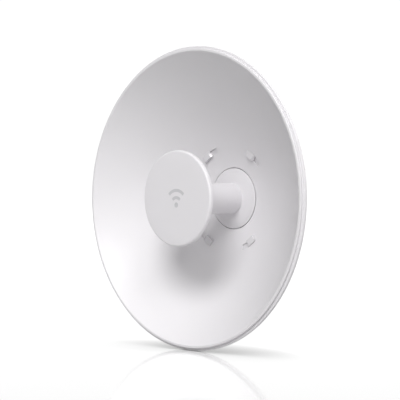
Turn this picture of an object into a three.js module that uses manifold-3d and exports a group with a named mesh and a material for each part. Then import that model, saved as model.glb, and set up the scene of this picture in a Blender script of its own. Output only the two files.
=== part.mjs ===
// Outdoor wireless bridge: a 420 mm dish antenna with its radio in a round housing behind the dish,
// a feed on a neck in front of it, and a tilting bracket that clamps to a pole.
//
// Frame, in millimetres: +Z is up along the pole, the dish looks along -Y, and the origin is on the
// pole's axis, level with the dish's centre. Everything that tilts is built in the hub's frame, whose
// y = 0 is the plane where the reflector meets the base of the feed.

import * as THREE from "three";
import { mergeVertices } from "three/addons/utils/BufferGeometryUtils.js";
import Module from "manifold-3d";

const wasm = await Module();
wasm.setup();

// ---------------------------------------------------------------- driving dimensions

const GAP = 0.3; // between pieces that touch
const HUB_Y = -115; // the hub's plane, seen from the pole's axis

// Reflector: a paraboloid of sheet metal with a stepped, rolled rim
const FOCAL_LENGTH = 110.2;
const HUB_RADIUS = 43.9; // hole for the base of the feed
const APERTURE_RADIUS = 202.8;
const DISH_RADIUS = 210; // outside of the rim
const SHEET = 1.6;
const DISH_SEGMENTS = 40;
const RIM = { lipRadius: 206.7, lipDepth: 4, depth: 8.6, proud: 0.5 };

// Twist lock: hooks of the housing hold the reflector through four slots. The angles are in degrees,
// from +X towards +Z, and each latch and slot runs from its own angle.
const LATCH_ANGLES = [49, 119.5, 229.5, 299.5];
const LATCH = { inner: 69, outer: 78, from: 0, to: 12, gap: 0.7, height: 3.2 };
const LATCH_STEM = { inner: 70.4, outer: 76.6, from: 0, to: 4.6 };
const SLOT = { inner: 69.8, outer: 77.2, from: -9.5, to: 5.4 };

// Feed: a neck and a flat round head
const NECK_RADIUS = 21.5;
const NECK_WALL = 2.5;
const NECK_RISE = 4.6; // how far the base of the feed domes up to the neck
const HEAD_RADIUS = 66;
const HEAD_FRONT = -112.5;
const HEAD_THICKNESS = 5.9;
const HEAD_WALL = 2.2;
const HEAD_SEGMENTS = 32;

// Inside the head and the neck: the subreflector, the radiator on its standoffs, and a long board
const SUBREFLECTOR = { radius: 58, thickness: 1 };
const RADIATOR = { radius: 17.5, thickness: 1.2, standoff: 2, standoffCircle: 13 };
const FEED_BOARD = { front: -0.8, back: 0.8, halfWidth: 15, end: 11.5 };
const FEED_CAN = { from: -86, to: -20, halfWidth: 11, height: 5.4, wall: 0.6 };
const NECK_SKIRT = { outer: 42.6, inner: 40, end: 4.4 };
const NECK_SEAL = { radius: 41.3, thickness: 2.8, y: 6.1 };

// Housing: front and rear shells that meet at a gasket
const HOUSING_RADIUS = 84;
const WALL = 2.8;
const SPLIT = { front: 19.4, rear: 20.6 };
const HOUSING_BACK = 36;
const HOUSING_ROUND = 14;
const HOUSING_SEGMENTS = 32;
const BOSS_RADIUS = 4.6;
const FLOOR = { front: 8, thickness: 2.4, opening: 27 }; // of the front shell, round the feed's plug
const SHELL_SCREW = { x: 46.7, z: 46.7, seat: 29, tip: 9, well: 4, hole: 2.3, core: 1.9 };
const GROUND = { x: -55, z: -17, pad: 6.6, rise: 0.8, lug: 2.2, hole: 2.9 }; // lug: room under the head
const VENT = { x: -55, z: 17, hole: 3.5, cap: 6.4 };

// Port bay at the bottom of the housing, closed by a cover that slides down
const BAY = { halfWidth: 32, ceiling: -50, front: SPLIT.rear + WALL };
const COVER_WALL = 2.4;
const CABLE = { y: 27.5, notch: 4.8, hole: 3.1 };

// Electronics
const BOARD = { front: 17.4, thickness: 1.6, half: 56, bottom: -47, corner: 84 };
const CAN = { height: 3.6, wall: 0.4 };
const SPREADER = { radius: 54, front: 12.2, back: 14 };
const JACK = { width: 16, height: 13.6, length: 21.3, mouth: 11.7, mouthHeight: 6.9, depth: 14 };
const NOSE = { front: 23.8, length: 4.2, wall: 0.5 }; // the part of the jack that enters the bay
const TAB = { halfWidth: 3, height: 1.1 }; // groove of the jack for the plug's latch
const RESET = { x: 18, y: 27, radius: 2, travel: 0.8 };
const LED = { x: 58, count: 6, pitch: 5, radius: 1.1 };

// Bracket: the tilt bracket turns about the pivot, and a second bolt locks it in an arc slot
const STEEL = 3;
const PIVOT_Y = -45;
const LOCK_RADIUS = 22;
const LOCK_Y = PIVOT_Y - LOCK_RADIUS;
const TILT_DEGREES = 20;
const BOLT = { radius: 2.9, hole: 3.4, corner: 5.77, head: 4, nut: 6.4, flange: 7.1, length: 9 };
const TILT_EAR = { x: 20.6, half: 30, shoulder: 17, round: 9.5 };
const POLE_EAR = { x: 17, half: 24, round: 6.5, shoulder: 8 };
const TILT_BASE = HUB_Y + HOUSING_BACK + GAP;
const BRACKET_SCREW = { x: 14, z: 24 };

// Pole clamp: two toothed flanges seat on the pole and two screw bands pull them to it. At rest it
// holds a 50 mm pole.
const POLE_RADIUS = 25;
const V_DEGREES = 30; // slope of each side of the notch that seats on the pole
const V_POINT = POLE_RADIUS / Math.cos(THREE.MathUtils.degToRad(V_DEGREES));
const CLAMP = { halfWidth: 41, halfHeight: 47, plate: 31, notch: 30, flange: 30 };
const TOOTH = { pitch: 5, depth: 1.2 };
const BAND = { z: 37.5, width: 12.7, thickness: 0.8, radius: 25.8, x: 31.5, front: -34.9 };
const BAND_SLOT = { halfWidth: 1.4, halfHeight: 7.2 };
const BAND_SCREW = { x: 31.6, radius: 3.1, head: 4.1, from: -9.5, to: 10, bearing: 160 };

// ---------------------------------------------------------------- materials

const finish = (color, roughness, metalness = 0) =>
  new THREE.MeshStandardMaterial({ color, roughness, metalness });
const whitePaint = finish(0xe9e8ea, 0.55);
const whitePlastic = finish(0xe6e5e8, 0.5);
const greyRubber = finish(0x6f7073, 0.8);
const steel = finish(0xb4b7ba, 0.38, 0.9);
const aluminium = finish(0xc9cacc, 0.4, 0.9);
const tinPlate = finish(0xbfc1c4, 0.3, 0.9);
const circuit = finish(0x1f5a3a, 0.5);
const blackPlastic = finish(0x202124, 0.5);
const clearPlastic = finish(0xdfe8ee, 0.2);
const thermalRubber = finish(0x9aa6b5, 0.8);

// ---------------------------------------------------------------- solids

const radians = THREE.MathUtils.degToRad;
const point = (x, y) => new THREE.Vector2(x, y);

// A closed three.js geometry as a manifold solid, and back.
function solid(geometry) {
  const bare = new THREE.BufferGeometry();
  const flat = geometry.index ? geometry.toNonIndexed() : geometry;
  bare.setAttribute("position", flat.getAttribute("position"));
  const merged = mergeVertices(bare, 1e-4);
  return new wasm.Manifold(
    new wasm.Mesh({
      numProp: 3,
      vertProperties: merged.attributes.position.array,
      triVerts: new Uint32Array(merged.index.array),
    }),
  );
}

function geometryOf(made) {
  const mesh = made.getMesh();
  const geometry = new THREE.BufferGeometry();
  geometry.setAttribute("position", new THREE.BufferAttribute(mesh.vertProperties, 3));
  geometry.setIndex(new THREE.BufferAttribute(mesh.triVerts, 1));
  return geometry;
}

const join = (first, ...rest) => rest.reduce((sum, piece) => sum.add(piece), first);
const cut = (first, ...rest) => rest.reduce((left, tool) => left.subtract(tool), first);

// A box between two corners.
function block([x0, y0, z0], [x1, y1, z1]) {
  const box = new THREE.BoxGeometry(x1 - x0, y1 - y0, z1 - z0);
  return solid(box.translate((x0 + x1) / 2, (y0 + y1) / 2, (z0 + z1) / 2));
}

// A cylinder about +X, +Y or +Z, between two heights on that axis.
function rod(axis, radius, from, to, at = [0, 0, 0], segments = 16) {
  const shape = new THREE.CylinderGeometry(radius, radius, to - from, segments);
  shape.translate(0, (from + to) / 2, 0);
  if (axis === "x") shape.rotateZ(-Math.PI / 2);
  if (axis === "z") shape.rotateX(Math.PI / 2);
  return solid(shape.translate(...at));
}

// A closed outline of [radius, y] pairs turned about the Y axis. It may start and end on the axis.
function turned(outline, segments = 24) {
  const points = outline.map(([r, y]) => point(r, y));
  if (THREE.ShapeUtils.area(points) < 0) points.reverse();
  const onAxis = points[0].x === 0 && points.at(-1).x === 0;
  if (!onAxis) points.push(points[0].clone());
  return solid(new THREE.LatheGeometry(points, segments));
}

// Shapes drawn in one plane and extruded square to it.
const extrusion = (shape, depth, curveSegments) =>
  new THREE.ExtrudeGeometry(shape, { depth, bevelEnabled: false, curveSegments });

function extrudeAlongX(shape, x0, x1, curveSegments = 12) {
  const basis = new THREE.Matrix4().makeBasis(
    new THREE.Vector3(0, 1, 0),
    new THREE.Vector3(0, 0, 1),
    new THREE.Vector3(1, 0, 0),
  );
  const geometry = extrusion(shape, x1 - x0, curveSegments).applyMatrix4(basis);
  return solid(geometry.translate(x0, 0, 0));
}

function extrudeAlongY(shape, y0, y1, curveSegments = 12) {
  const geometry = extrusion(shape, y1 - y0, curveSegments).rotateX(Math.PI / 2);
  return solid(geometry.translate(0, y1, 0));
}

function extrudeAlongZ(shape, z0, z1, curveSegments = 12) {
  return solid(extrusion(shape, z1 - z0, curveSegments).translate(0, 0, z0));
}

// A ring sector between two radii and two angles in degrees.
function sectorShape(inner, outer, from, to) {
  const shape = new THREE.Shape();
  shape.absarc(0, 0, outer, radians(from), radians(to), false);
  shape.absarc(0, 0, inner, radians(to), radians(from), true);
  shape.closePath();
  return shape;
}

function roundedRectangle(halfX, halfY, radius) {
  const shape = new THREE.Shape();
  shape.absarc(halfX - radius, halfY - radius, radius, 0, Math.PI / 2, false);
  shape.absarc(radius - halfX, halfY - radius, radius, Math.PI / 2, Math.PI, false);
  shape.absarc(radius - halfX, radius - halfY, radius, Math.PI, 1.5 * Math.PI, false);
  shape.absarc(halfX - radius, radius - halfY, radius, 1.5 * Math.PI, 2 * Math.PI, false);
  shape.closePath();
  return shape;
}

// The ring sector of a latch or slot that runs from an angle.
const sectorAt = ({ inner, outer, from, to }, angle) =>
  sectorShape(inner, outer, angle + from, angle + to);

const QUADRANTS = [
  [1, 1],
  [-1, 1],
  [-1, -1],
  [1, -1],
];

// Puts a solid into a group as a named mesh.
function place(group, name, made, material, position = [0, 0, 0]) {
  const mesh = new THREE.Mesh(geometryOf(made), material);
  mesh.name = name;
  mesh.position.set(...position);
  group.add(mesh);
  return mesh;
}

// Steps from one number to another, both included.
const steps = (from, to, count) =>
  Array.from({ length: count + 1 }, (_, i) => from + ((to - from) * i) / count);

// ---------------------------------------------------------------- reflector

const dishFront = (r) => -(r * r - HUB_RADIUS * HUB_RADIUS) / (4 * FOCAL_LENGTH);
const dishBack = (r) => dishFront(r) + SHEET * Math.hypot(1, r / (2 * FOCAL_LENGTH));

function reflector() {
  const lip = dishFront(APERTURE_RADIUS) - RIM.proud;
  const step = lip + RIM.lipDepth;
  const end = lip + RIM.depth;
  const inside = RIM.lipRadius - SHEET;
  const edge = 0.6; // chamfer of the rim's corners
  const front = steps(HUB_RADIUS, APERTURE_RADIUS, 6).map((r) => [r, dishFront(r)]);
  const rim = [
    [APERTURE_RADIUS + edge, lip],
    [RIM.lipRadius - edge, lip],
    [RIM.lipRadius, lip + edge],
    [RIM.lipRadius, step],
    [DISH_RADIUS - edge, step],
    [DISH_RADIUS, step + edge],
    [DISH_RADIUS, end],
    [DISH_RADIUS - SHEET, end],
    [DISH_RADIUS - SHEET, step + SHEET],
    [inside, step + SHEET],
    [inside, lip + SHEET],
  ];
  const back = steps(inside - 2 * edge, HUB_RADIUS, 5).map((r) => [r, dishBack(r)]);
  const sheet = turned([...front, ...rim, ...back], DISH_SEGMENTS);
  const slots = LATCH_ANGLES.map((angle) => extrudeAlongY(sectorAt(SLOT, angle), -20, 5, 5));
  return cut(sheet, ...slots);
}

// ---------------------------------------------------------------- feed

const headBack = HEAD_FRONT + HEAD_THICKNESS;

function feedCap() {
  const round = 2.6;
  const corner = [0, 30, 60, 90].map((degrees) => [
    HEAD_RADIUS - round + round * Math.sin(radians(degrees)),
    HEAD_FRONT + round - round * Math.cos(radians(degrees)),
  ]);
  const inner = HEAD_RADIUS - HEAD_WALL;
  return turned(
    [
      [0, HEAD_FRONT],
      ...corner,
      [HEAD_RADIUS, headBack],
      [inner, headBack],
      [inner, HEAD_FRONT + HEAD_WALL],
      [0, HEAD_FRONT + HEAD_WALL],
    ],
    HEAD_SEGMENTS,
  );
}

// The cone that closes the head from behind and carries it on the neck.
function feedBackshell() {
  const edge = HEAD_RADIUS - HEAD_WALL - GAP;
  const neckTop = headBack + 12.6;
  return turned(
    [
      [edge, headBack - 2.4],
      [edge, headBack + 0.4],
      [edge - 1.6, headBack + 1.6],
      [NECK_RADIUS + 6, neckTop - 2],
      [NECK_RADIUS + 2.2, neckTop],
      [NECK_RADIUS + GAP, neckTop],
      [NECK_RADIUS + GAP, neckTop - 6],
      [NECK_RADIUS + 4, neckTop - 6.4],
      [edge - 3, headBack - 0.4],
      [edge - 2.2, headBack - 2.4],
    ],
    HEAD_SEGMENTS,
  );
}

// Domed base and neck, moulded in one, with a skirt that seats in the front shell.
function feedNeck() {
  const inner = NECK_RADIUS - NECK_WALL;
  const base = HUB_RADIUS - 0.4;
  const neckEnd = headBack + 3.5;
  const skirt = NECK_SKIRT;
  return turned(
    [
      [base - 0.6, -0.6],
      [36, -2.6],
      [29, -3.9],
      [NECK_RADIUS + 1.8, -NECK_RISE],
      [NECK_RADIUS + 0.5, -NECK_RISE - 0.5],
      [NECK_RADIUS, -NECK_RISE - 1.8],
      [NECK_RADIUS, neckEnd],
      [inner, neckEnd],
      [inner, -2],
      [29, -1.2],
      [skirt.inner, 0.8],
      [skirt.inner, skirt.end],
      [skirt.outer, skirt.end],
      [skirt.outer, 1.4],
      [base, 1.4],
      [base, 0],
    ],
    28,
  );
}

// The can over the radio's front end, open towards the board in the neck.
function feedCan() {
  const { from, to, halfWidth, height, wall } = FEED_CAN;
  return cut(
    block([FEED_BOARD.back + GAP, from, -halfWidth], [height, to, halfWidth]),
    block([0, from + wall, wall - halfWidth], [height - wall, to - wall, halfWidth - wall]),
  );
}

function ringSeal() {
  const { radius, thickness, y } = NECK_SEAL;
  const half = thickness / 2;
  const outline = steps(0, 300, 5).map((degrees) => [
    radius + half * Math.cos(radians(degrees)),
    y + half * Math.sin(radians(degrees)),
  ]);
  return turned(outline, 24);
}

function feedParts(group) {
  const boardY = headBack + 0.9;
  const plateY = HEAD_FRONT + HEAD_WALL + GAP;
  place(group, "feed_cap", feedCap(), whitePlastic);
  place(group, "feed_backshell", feedBackshell(), whitePlastic);
  place(group, "feed_neck", feedNeck(), whitePlastic);
  const plateBack = plateY + SUBREFLECTOR.thickness;
  const plate = rod("y", SUBREFLECTOR.radius, plateY, plateBack, [0, 0, 0], 32);
  place(group, "subreflector", plate, aluminium);
  const boardBack = boardY + RADIATOR.thickness;
  const radiator = rod("y", RADIATOR.radius, boardY, boardBack, [0, 0, 0], 24);
  place(group, "radiator_board", radiator, circuit);
  [90, 210, 330].forEach((degrees, i) => {
    const [x, z] = [Math.cos(radians(degrees)), Math.sin(radians(degrees))];
    const at = [x * RADIATOR.standoffCircle, 0, z * RADIATOR.standoffCircle];
    const standoff = rod("y", RADIATOR.standoff, plateBack + GAP, boardY - GAP, at, 8);
    place(group, `radiator_standoff_${i + 1}`, standoff, aluminium);
  });
  const { front, back, halfWidth, end } = FEED_BOARD;
  const strip = block([front, boardBack + GAP, -halfWidth], [back, end, halfWidth]);
  place(group, "feed_board", strip, circuit);
  place(group, "feed_shield", feedCan(), tinPlate);
  place(group, "neck_seal", ringSeal(), greyRubber);
}

// ---------------------------------------------------------------- housing shells

const shellFront = (r) => dishBack(r) + GAP;

function arc(radius, centreR, centreY, from, to, count) {
  return steps(from, to, count).map((degrees) => [
    centreR + radius * Math.cos(radians(degrees)),
    centreY + radius * Math.sin(radians(degrees)),
  ]);
}

// The housing's outer form behind the split line, shrunk by an inset.
function rearForm(inset, from = SPLIT.rear) {
  const corner = HOUSING_RADIUS - HOUSING_ROUND;
  const round = HOUSING_ROUND - inset;
  const outline = [
    [0, from],
    [HOUSING_RADIUS - inset, from],
    ...arc(round, corner, HOUSING_BACK - HOUSING_ROUND, 0, 90, 3),
    [0, HOUSING_BACK - inset],
  ];
  return turned(outline, HOUSING_SEGMENTS);
}

function frontShell() {
  const inner = HOUSING_RADIUS - WALL;
  const outline = [
    ...steps(HUB_RADIUS, HOUSING_RADIUS, 3).map((r) => [r, shellFront(r)]),
    [HOUSING_RADIUS, SPLIT.front],
    [inner, SPLIT.front],
    ...steps(inner, HUB_RADIUS + WALL, 2).map((r) => [r, shellFront(r) + WALL]),
    [HUB_RADIUS + WALL, FLOOR.front + FLOOR.thickness],
    [FLOOR.opening, FLOOR.front + FLOOR.thickness],
    [FLOOR.opening, FLOOR.front],
    [HUB_RADIUS, FLOOR.front],
  ];
  const latchRing = turned(
    [
      [LATCH.inner, dishFront(LATCH.inner) - LATCH.gap],
      [LATCH.outer, dishFront(LATCH.outer) - LATCH.gap],
      [LATCH.outer, dishFront(LATCH.outer) - LATCH.height],
      [LATCH.inner, dishFront(LATCH.inner) - LATCH.height],
    ],
    HOUSING_SEGMENTS,
  );
  const latches = LATCH_ANGLES.flatMap((angle) => [
    latchRing.intersect(extrudeAlongY(sectorAt(LATCH, angle), -20, 5, 4)),
    extrudeAlongY(sectorAt(LATCH_STEM, angle), dishFront(LATCH.inner) - 1.4, -4, 2),
  ]);
  const { x: screwX, z: screwZ, tip, core } = SHELL_SCREW;
  const bosses = QUADRANTS.map(([x, z]) =>
    rod("y", BOSS_RADIUS, -1, SPLIT.front, [x * screwX, 0, z * screwZ], 12),
  );
  const holes = QUADRANTS.map(([x, z]) =>
    rod("y", core, tip - 1, SPLIT.front + 1, [x * screwX, 0, z * screwZ], 8),
  );
  return cut(join(turned(outline, HOUSING_SEGMENTS), ...latches, ...bosses), ...holes);
}

function rearShell() {
  const { halfWidth, ceiling, front } = BAY;
  const shell = cut(rearForm(0), rearForm(WALL, SPLIT.rear - 1));
  const bayWalls = rearForm(0).intersect(
    block(
      [-halfWidth - WALL, SPLIT.rear, -HOUSING_RADIUS - 1],
      [halfWidth + WALL, HOUSING_BACK, ceiling + WALL],
    ),
  );
  const bay = block([-halfWidth, front, -HOUSING_RADIUS - 1], [halfWidth, HOUSING_BACK + 1, ceiling]);
  const jackTop = BOARD.front + BOARD.thickness + GAP + JACK.height + GAP;
  const jackHole = block(
    [-JACK.width / 2 - GAP, front, ceiling - 1],
    [JACK.width / 2 + GAP, jackTop, ceiling + WALL + 1],
  );
  const { x: screwX, z: screwZ, seat, well, hole } = SHELL_SCREW;
  const at = (x, z) => [x * screwX, 0, z * screwZ];
  const bosses = QUADRANTS.map(([x, z]) => rod("y", BOSS_RADIUS, SPLIT.rear, 34, at(x, z), 12));
  const wells = QUADRANTS.flatMap(([x, z]) => [
    rod("y", hole, SPLIT.rear - 1, HOUSING_BACK + 1, at(x, z), 8),
    rod("y", well, seat, HOUSING_BACK + 1, at(x, z), 12),
  ]);
  const mounts = QUADRANTS.map(([x, z]) =>
    rod("y", 5, 24, 34, [x * BRACKET_SCREW.x, 0, z * BRACKET_SCREW.z], 12),
  );
  const mountHoles = QUADRANTS.map(([x, z]) =>
    rod("y", 2.5, 25, HOUSING_BACK + 1, [x * BRACKET_SCREW.x, 0, z * BRACKET_SCREW.z], 10),
  );
  const groundAt = [GROUND.x, 0, GROUND.z];
  const groundBoss = rod("y", 5, 27, 34, groundAt, 12);
  const groundPad = rod("y", GROUND.pad, 34, HOUSING_BACK + GROUND.rise, groundAt, 20);
  const ledHoles = ledHeights().map((z) => rod("y", LED.radius + GAP, 30, 37, [LED.x, 0, z], 6));
  return cut(
    join(shell, bayWalls, ...bosses, ...mounts, groundBoss, groundPad),
    bay,
    jackHole,
    rod("z", RESET.radius + GAP, ceiling - 1, ceiling + WALL + 1, [RESET.x, RESET.y, 0], 14),
    rod("y", GROUND.hole, 26, HOUSING_BACK + 2, groundAt, 10),
    rod("y", VENT.hole, 30, HOUSING_BACK + 1, [VENT.x, 0, VENT.z], 10),
    ...wells,
    ...mountHoles,
    ...ledHoles,
  );
}

function ledHeights() {
  const half = ((LED.count - 1) * LED.pitch) / 2;
  return steps(-half, half, LED.count - 1);
}

// A scoop that closes the bay from behind and below, with a notch for the cable.
function portCover() {
  const { halfWidth, ceiling, front } = BAY;
  const outside = halfWidth - 0.4;
  const inside = outside - COVER_WALL;
  const outer = rearForm(0).intersect(
    block([-outside, front + 0.4, -HOUSING_RADIUS - 1], [outside, HOUSING_BACK, ceiling - 0.4]),
  );
  const hollow = rearForm(COVER_WALL).intersect(
    block([-inside, SPLIT.rear, -HOUSING_RADIUS], [inside, HOUSING_BACK, ceiling + 1]),
  );
  const notch = new THREE.Shape();
  notch.absarc(0, CABLE.y, CABLE.notch, 0, Math.PI, false);
  notch.lineTo(-CABLE.notch, front - 1);
  notch.lineTo(CABLE.notch, front - 1);
  notch.closePath();
  const grip = block([-14, HOUSING_BACK - 0.9, -62.6], [14, HOUSING_BACK + 1, -60.8]);
  const grips = [0, 1, 2].map((i) => grip.translate([0, 0, -3.6 * i]));
  const exit = extrudeAlongZ(notch, -HOUSING_RADIUS - 2, -70, 10);
  return cut(outer, hollow, exit, ...grips);
}

// The rubber bush in the cover's notch: a body between two lips, bored for the cable.
function cableGrommet() {
  const outline = (radius, front) => {
    const shape = new THREE.Shape();
    shape.absarc(0, CABLE.y, radius, 0, Math.PI, false);
    shape.lineTo(-radius, front);
    shape.lineTo(radius, front);
    shape.closePath();
    return shape;
  };
  const front = BAY.front + 0.4;
  const bottom = -HOUSING_RADIUS - 2.4;
  const top = 0.4 - HOUSING_RADIUS + HOUSING_ROUND;
  const body = extrudeAlongZ(outline(CABLE.notch - GAP, front), bottom, top, 8);
  const outerLip = extrudeAlongZ(outline(CABLE.notch + 1.4, front), bottom, bottom + 2, 8);
  const innerLip = extrudeAlongZ(outline(CABLE.notch + 0.6, front), top - 1.6, top, 8);
  const bore = rod("z", CABLE.hole, bottom - 1, top + 1, [0, CABLE.y, 0], 14);
  return cut(join(body, outerLip, innerLip), bore);
}

// A screw along +Y with its head at the +Y end.
function panScrew(seat, tip, radius, headRadius, headHeight) {
  return turned(
    [
      [0, tip],
      [radius - 0.6, tip],
      [radius, tip + 1],
      [radius, seat],
      [headRadius, seat],
      [headRadius, seat + headHeight * 0.55],
      [headRadius * 0.72, seat + headHeight],
      [0, seat + headHeight],
    ],
    10,
  );
}

function housingParts(group) {
  place(group, "front_shell", frontShell(), whitePlastic);
  place(group, "rear_shell", rearShell(), whitePlastic);
  const gasket = turned(
    [
      [HOUSING_RADIUS - WALL, SPLIT.front + GAP],
      [HOUSING_RADIUS - 0.6, SPLIT.front + GAP],
      [HOUSING_RADIUS - 0.6, SPLIT.rear - GAP],
      [HOUSING_RADIUS - WALL, SPLIT.rear - GAP],
    ],
    HOUSING_SEGMENTS,
  );
  place(group, "shell_gasket", gasket, greyRubber);
  const { x: screwX, z: screwZ, seat, tip } = SHELL_SCREW;
  QUADRANTS.forEach(([x, z], i) => {
    const screw = panScrew(seat + GAP, tip, 1.6, 3.5, 2.4);
    place(group, `shell_screw_${i + 1}`, screw, steel, [x * screwX, 0, z * screwZ]);
  });
  const groundScrew = panScrew(HOUSING_BACK + GROUND.rise + GROUND.lug, 28, 2.4, 4.6, 3.2);
  place(group, "ground_screw", groundScrew, steel, [GROUND.x, 0, GROUND.z]);
  const vent = turned(
    [
      [0, 32],
      [3.1, 32],
      [3.1, HOUSING_BACK + GAP],
      [VENT.cap, HOUSING_BACK + GAP],
      [VENT.cap, HOUSING_BACK + 2],
      [VENT.cap - 1, HOUSING_BACK + 3],
      [0, HOUSING_BACK + 3],
    ],
    12,
  );
  place(group, "vent_plug", vent, blackPlastic, [VENT.x, 0, VENT.z]);
  place(group, "port_cover", portCover(), whitePlastic);
  place(group, "cable_grommet", cableGrommet(), greyRubber);
}

// ---------------------------------------------------------------- electronics

// A sheet-metal can, open towards the board.
function shieldCan([x0, y0, z0], [x1, y1, z1]) {
  const { wall } = CAN;
  const inside = block([x0 + wall, y0 - 1, z0 + wall], [x1 - wall, y1 - wall, z1 - wall]);
  return cut(block([x0, y0, z0], [x1, y1, z1]), inside);
}

// The network jack stands on the board, and only its nose reaches through the wall into the bay.
function ethernetJack(top) {
  const { width, height, length, mouth, mouthHeight, depth } = JACK;
  const face = BAY.ceiling - 0.2;
  const mouthFront = NOSE.front + NOSE.wall;
  const mouthBack = mouthFront + mouthHeight;
  return cut(
    block([-width / 2, top, face], [width / 2, top + height, face + length]),
    block([-width / 2 - 1, top - 1, face - 1], [width / 2 + 1, NOSE.front, face + NOSE.length]),
    block([-mouth / 2, mouthFront, face - 1], [mouth / 2, mouthBack, face + depth]),
    block(
      [-TAB.halfWidth, mouthBack - 1, face - 1],
      [TAB.halfWidth, mouthBack + TAB.height, face + depth],
    ),
  );
}

function electronics(group) {
  const { front, thickness, half, bottom, corner } = BOARD;
  const back = front + thickness;
  const side = corner - half;
  const foot = corner + bottom;
  const outline = new THREE.Shape([
    point(foot, bottom),
    point(half, -side),
    point(half, side),
    point(side, half),
    point(-side, half),
    point(-half, side),
    point(-half, -side),
    point(-foot, bottom),
  ]);
  place(group, "main_board", extrudeAlongY(outline, front, back), circuit);

  const top = back + GAP;
  place(group, "radio_shield", shieldCan([-36, top, 14], [-2, top + CAN.height, 46]), tinPlate);
  place(group, "processor_shield", shieldCan([4, top, 8], [38, top + CAN.height, 42]), tinPlate);
  place(group, "feed_connector", shieldCan([-4, 12, -17], [4, front - GAP, 17]), blackPlastic);

  const spreader = cut(
    rod("y", SPREADER.radius, SPREADER.front, SPREADER.back, [0, 0, 0], 36),
    block([-8, SPREADER.front - 1, -20], [8, SPREADER.back + 1, 20]),
  );
  place(group, "heat_spreader", spreader, aluminium);
  place(group, "thermal_pad", block([12, SPREADER.back + GAP, 12], [34, front - GAP, 34]), thermalRubber);

  place(group, "ethernet_jack", ethernetJack(top), tinPlate);

  const buttonTop = BAY.ceiling + WALL + 2.4;
  const button = join(
    rod("z", RESET.radius, BAY.ceiling - 1.4, buttonTop, [RESET.x, RESET.y, 0], 14),
    rod("z", RESET.radius + 1.1, BAY.ceiling + WALL + GAP, buttonTop, [RESET.x, RESET.y, 0], 14),
  );
  place(group, "reset_button", button, blackPlastic);
  const switchBottom = buttonTop + RESET.travel + 0.1;
  const tact = block([RESET.x - 3, top, switchBottom], [RESET.x + 3, RESET.y + 3, switchBottom + 4]);
  place(group, "reset_switch", tact, blackPlastic);

  const inner = HOUSING_BACK - WALL - GAP;
  const reach = LED.pitch * (LED.count / 2);
  const bar = block([LED.x - 2, inner - 2.4, -reach], [LED.x + 2, inner, reach]);
  const pips = ledHeights().map((z) =>
    rod("y", LED.radius, inner - 1, HOUSING_BACK + 0.2, [LED.x, 0, z], 6),
  );
  place(group, "light_pipe", join(bar, ...pips), clearPlastic);
}

// ---------------------------------------------------------------- tilt bracket

// The angle at which a line from a corner touches a circle about the origin.
const tangent = (x, y, radius) => Math.atan2(y, x) - Math.acos(radius / Math.hypot(x, y));

function tiltBracket() {
  const { x, half, shoulder, round } = TILT_EAR;
  const base = TILT_BASE;
  const touch = tangent(-shoulder, half, round);
  const ear = new THREE.Shape();
  ear.moveTo(base, -half);
  ear.lineTo(PIVOT_Y - shoulder, -half);
  ear.absarc(PIVOT_Y, 0, round, -touch, touch, false);
  ear.lineTo(PIVOT_Y - shoulder, half);
  ear.lineTo(base, half);
  ear.closePath();

  const swing = radians(TILT_DEGREES + 1.5);
  const end = (angle) => [PIVOT_Y + LOCK_RADIUS * Math.cos(angle), LOCK_RADIUS * Math.sin(angle)];
  const { hole } = BOLT;
  const slot = new THREE.Shape();
  slot.absarc(PIVOT_Y, 0, LOCK_RADIUS + hole, Math.PI - swing, Math.PI + swing, false);
  slot.absarc(...end(Math.PI + swing), hole, Math.PI + swing, 2 * Math.PI + swing, false);
  slot.absarc(PIVOT_Y, 0, LOCK_RADIUS - hole, Math.PI + swing, Math.PI - swing, true);
  slot.absarc(...end(Math.PI - swing), hole, -swing, Math.PI - swing, false);
  slot.closePath();

  const width = x + STEEL;
  const plate = extrudeAlongY(roundedRectangle(width, half, 1), base, base + STEEL, 3);
  const hollow = block([-x, base + STEEL, -half - 1], [x, 0, half + 1]);
  const screwHoles = QUADRANTS.map(([sx, sz]) =>
    rod("y", 2.9, base - 1, base + STEEL + 1, [sx * BRACKET_SCREW.x, 0, sz * BRACKET_SCREW.z], 10),
  );
  return cut(
    join(plate, cut(extrudeAlongX(ear, -width, width, 8), hollow)),
    extrudeAlongX(slot, -width - 1, width + 1, 5),
    rod("x", hole, -width - 1, width + 1, [0, PIVOT_Y, 0], 12),
    rod("y", 8, base - 1, base + STEEL + 1, [0, 0, 0], 16),
    ...screwHoles,
  );
}

// ---------------------------------------------------------------- pole bracket

// A flange that seats on the pole: a wide V notch with teeth.
function notchedFlange() {
  const slope = Math.tan(radians(V_DEGREES));
  const edge = (x) => -V_POINT + Math.abs(x) * slope;
  const { notch, plate } = CLAMP;
  const count = Math.floor((notch - 4) / TOOTH.pitch);
  const teeth = steps(notch - TOOTH.pitch, notch - TOOTH.pitch * count, count - 1);
  const root = (x) => [x + TOOTH.pitch / 2, edge(x + TOOTH.pitch / 2) - TOOTH.depth];
  const side = teeth.flatMap((x) => [root(x), [x, edge(x)]]);
  const right = [[notch + 4, edge(notch)], [notch, edge(notch)], ...side];
  const left = right.map(([x, y]) => [-x, y]).reverse();
  const foot = [[-notch - 7, -plate], [notch + 7, -plate]];
  const outline = [...foot, ...right, [0, edge(0) - 0.6], ...left];
  return new THREE.Shape(outline.map(([x, y]) => point(x, y)));
}

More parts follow.
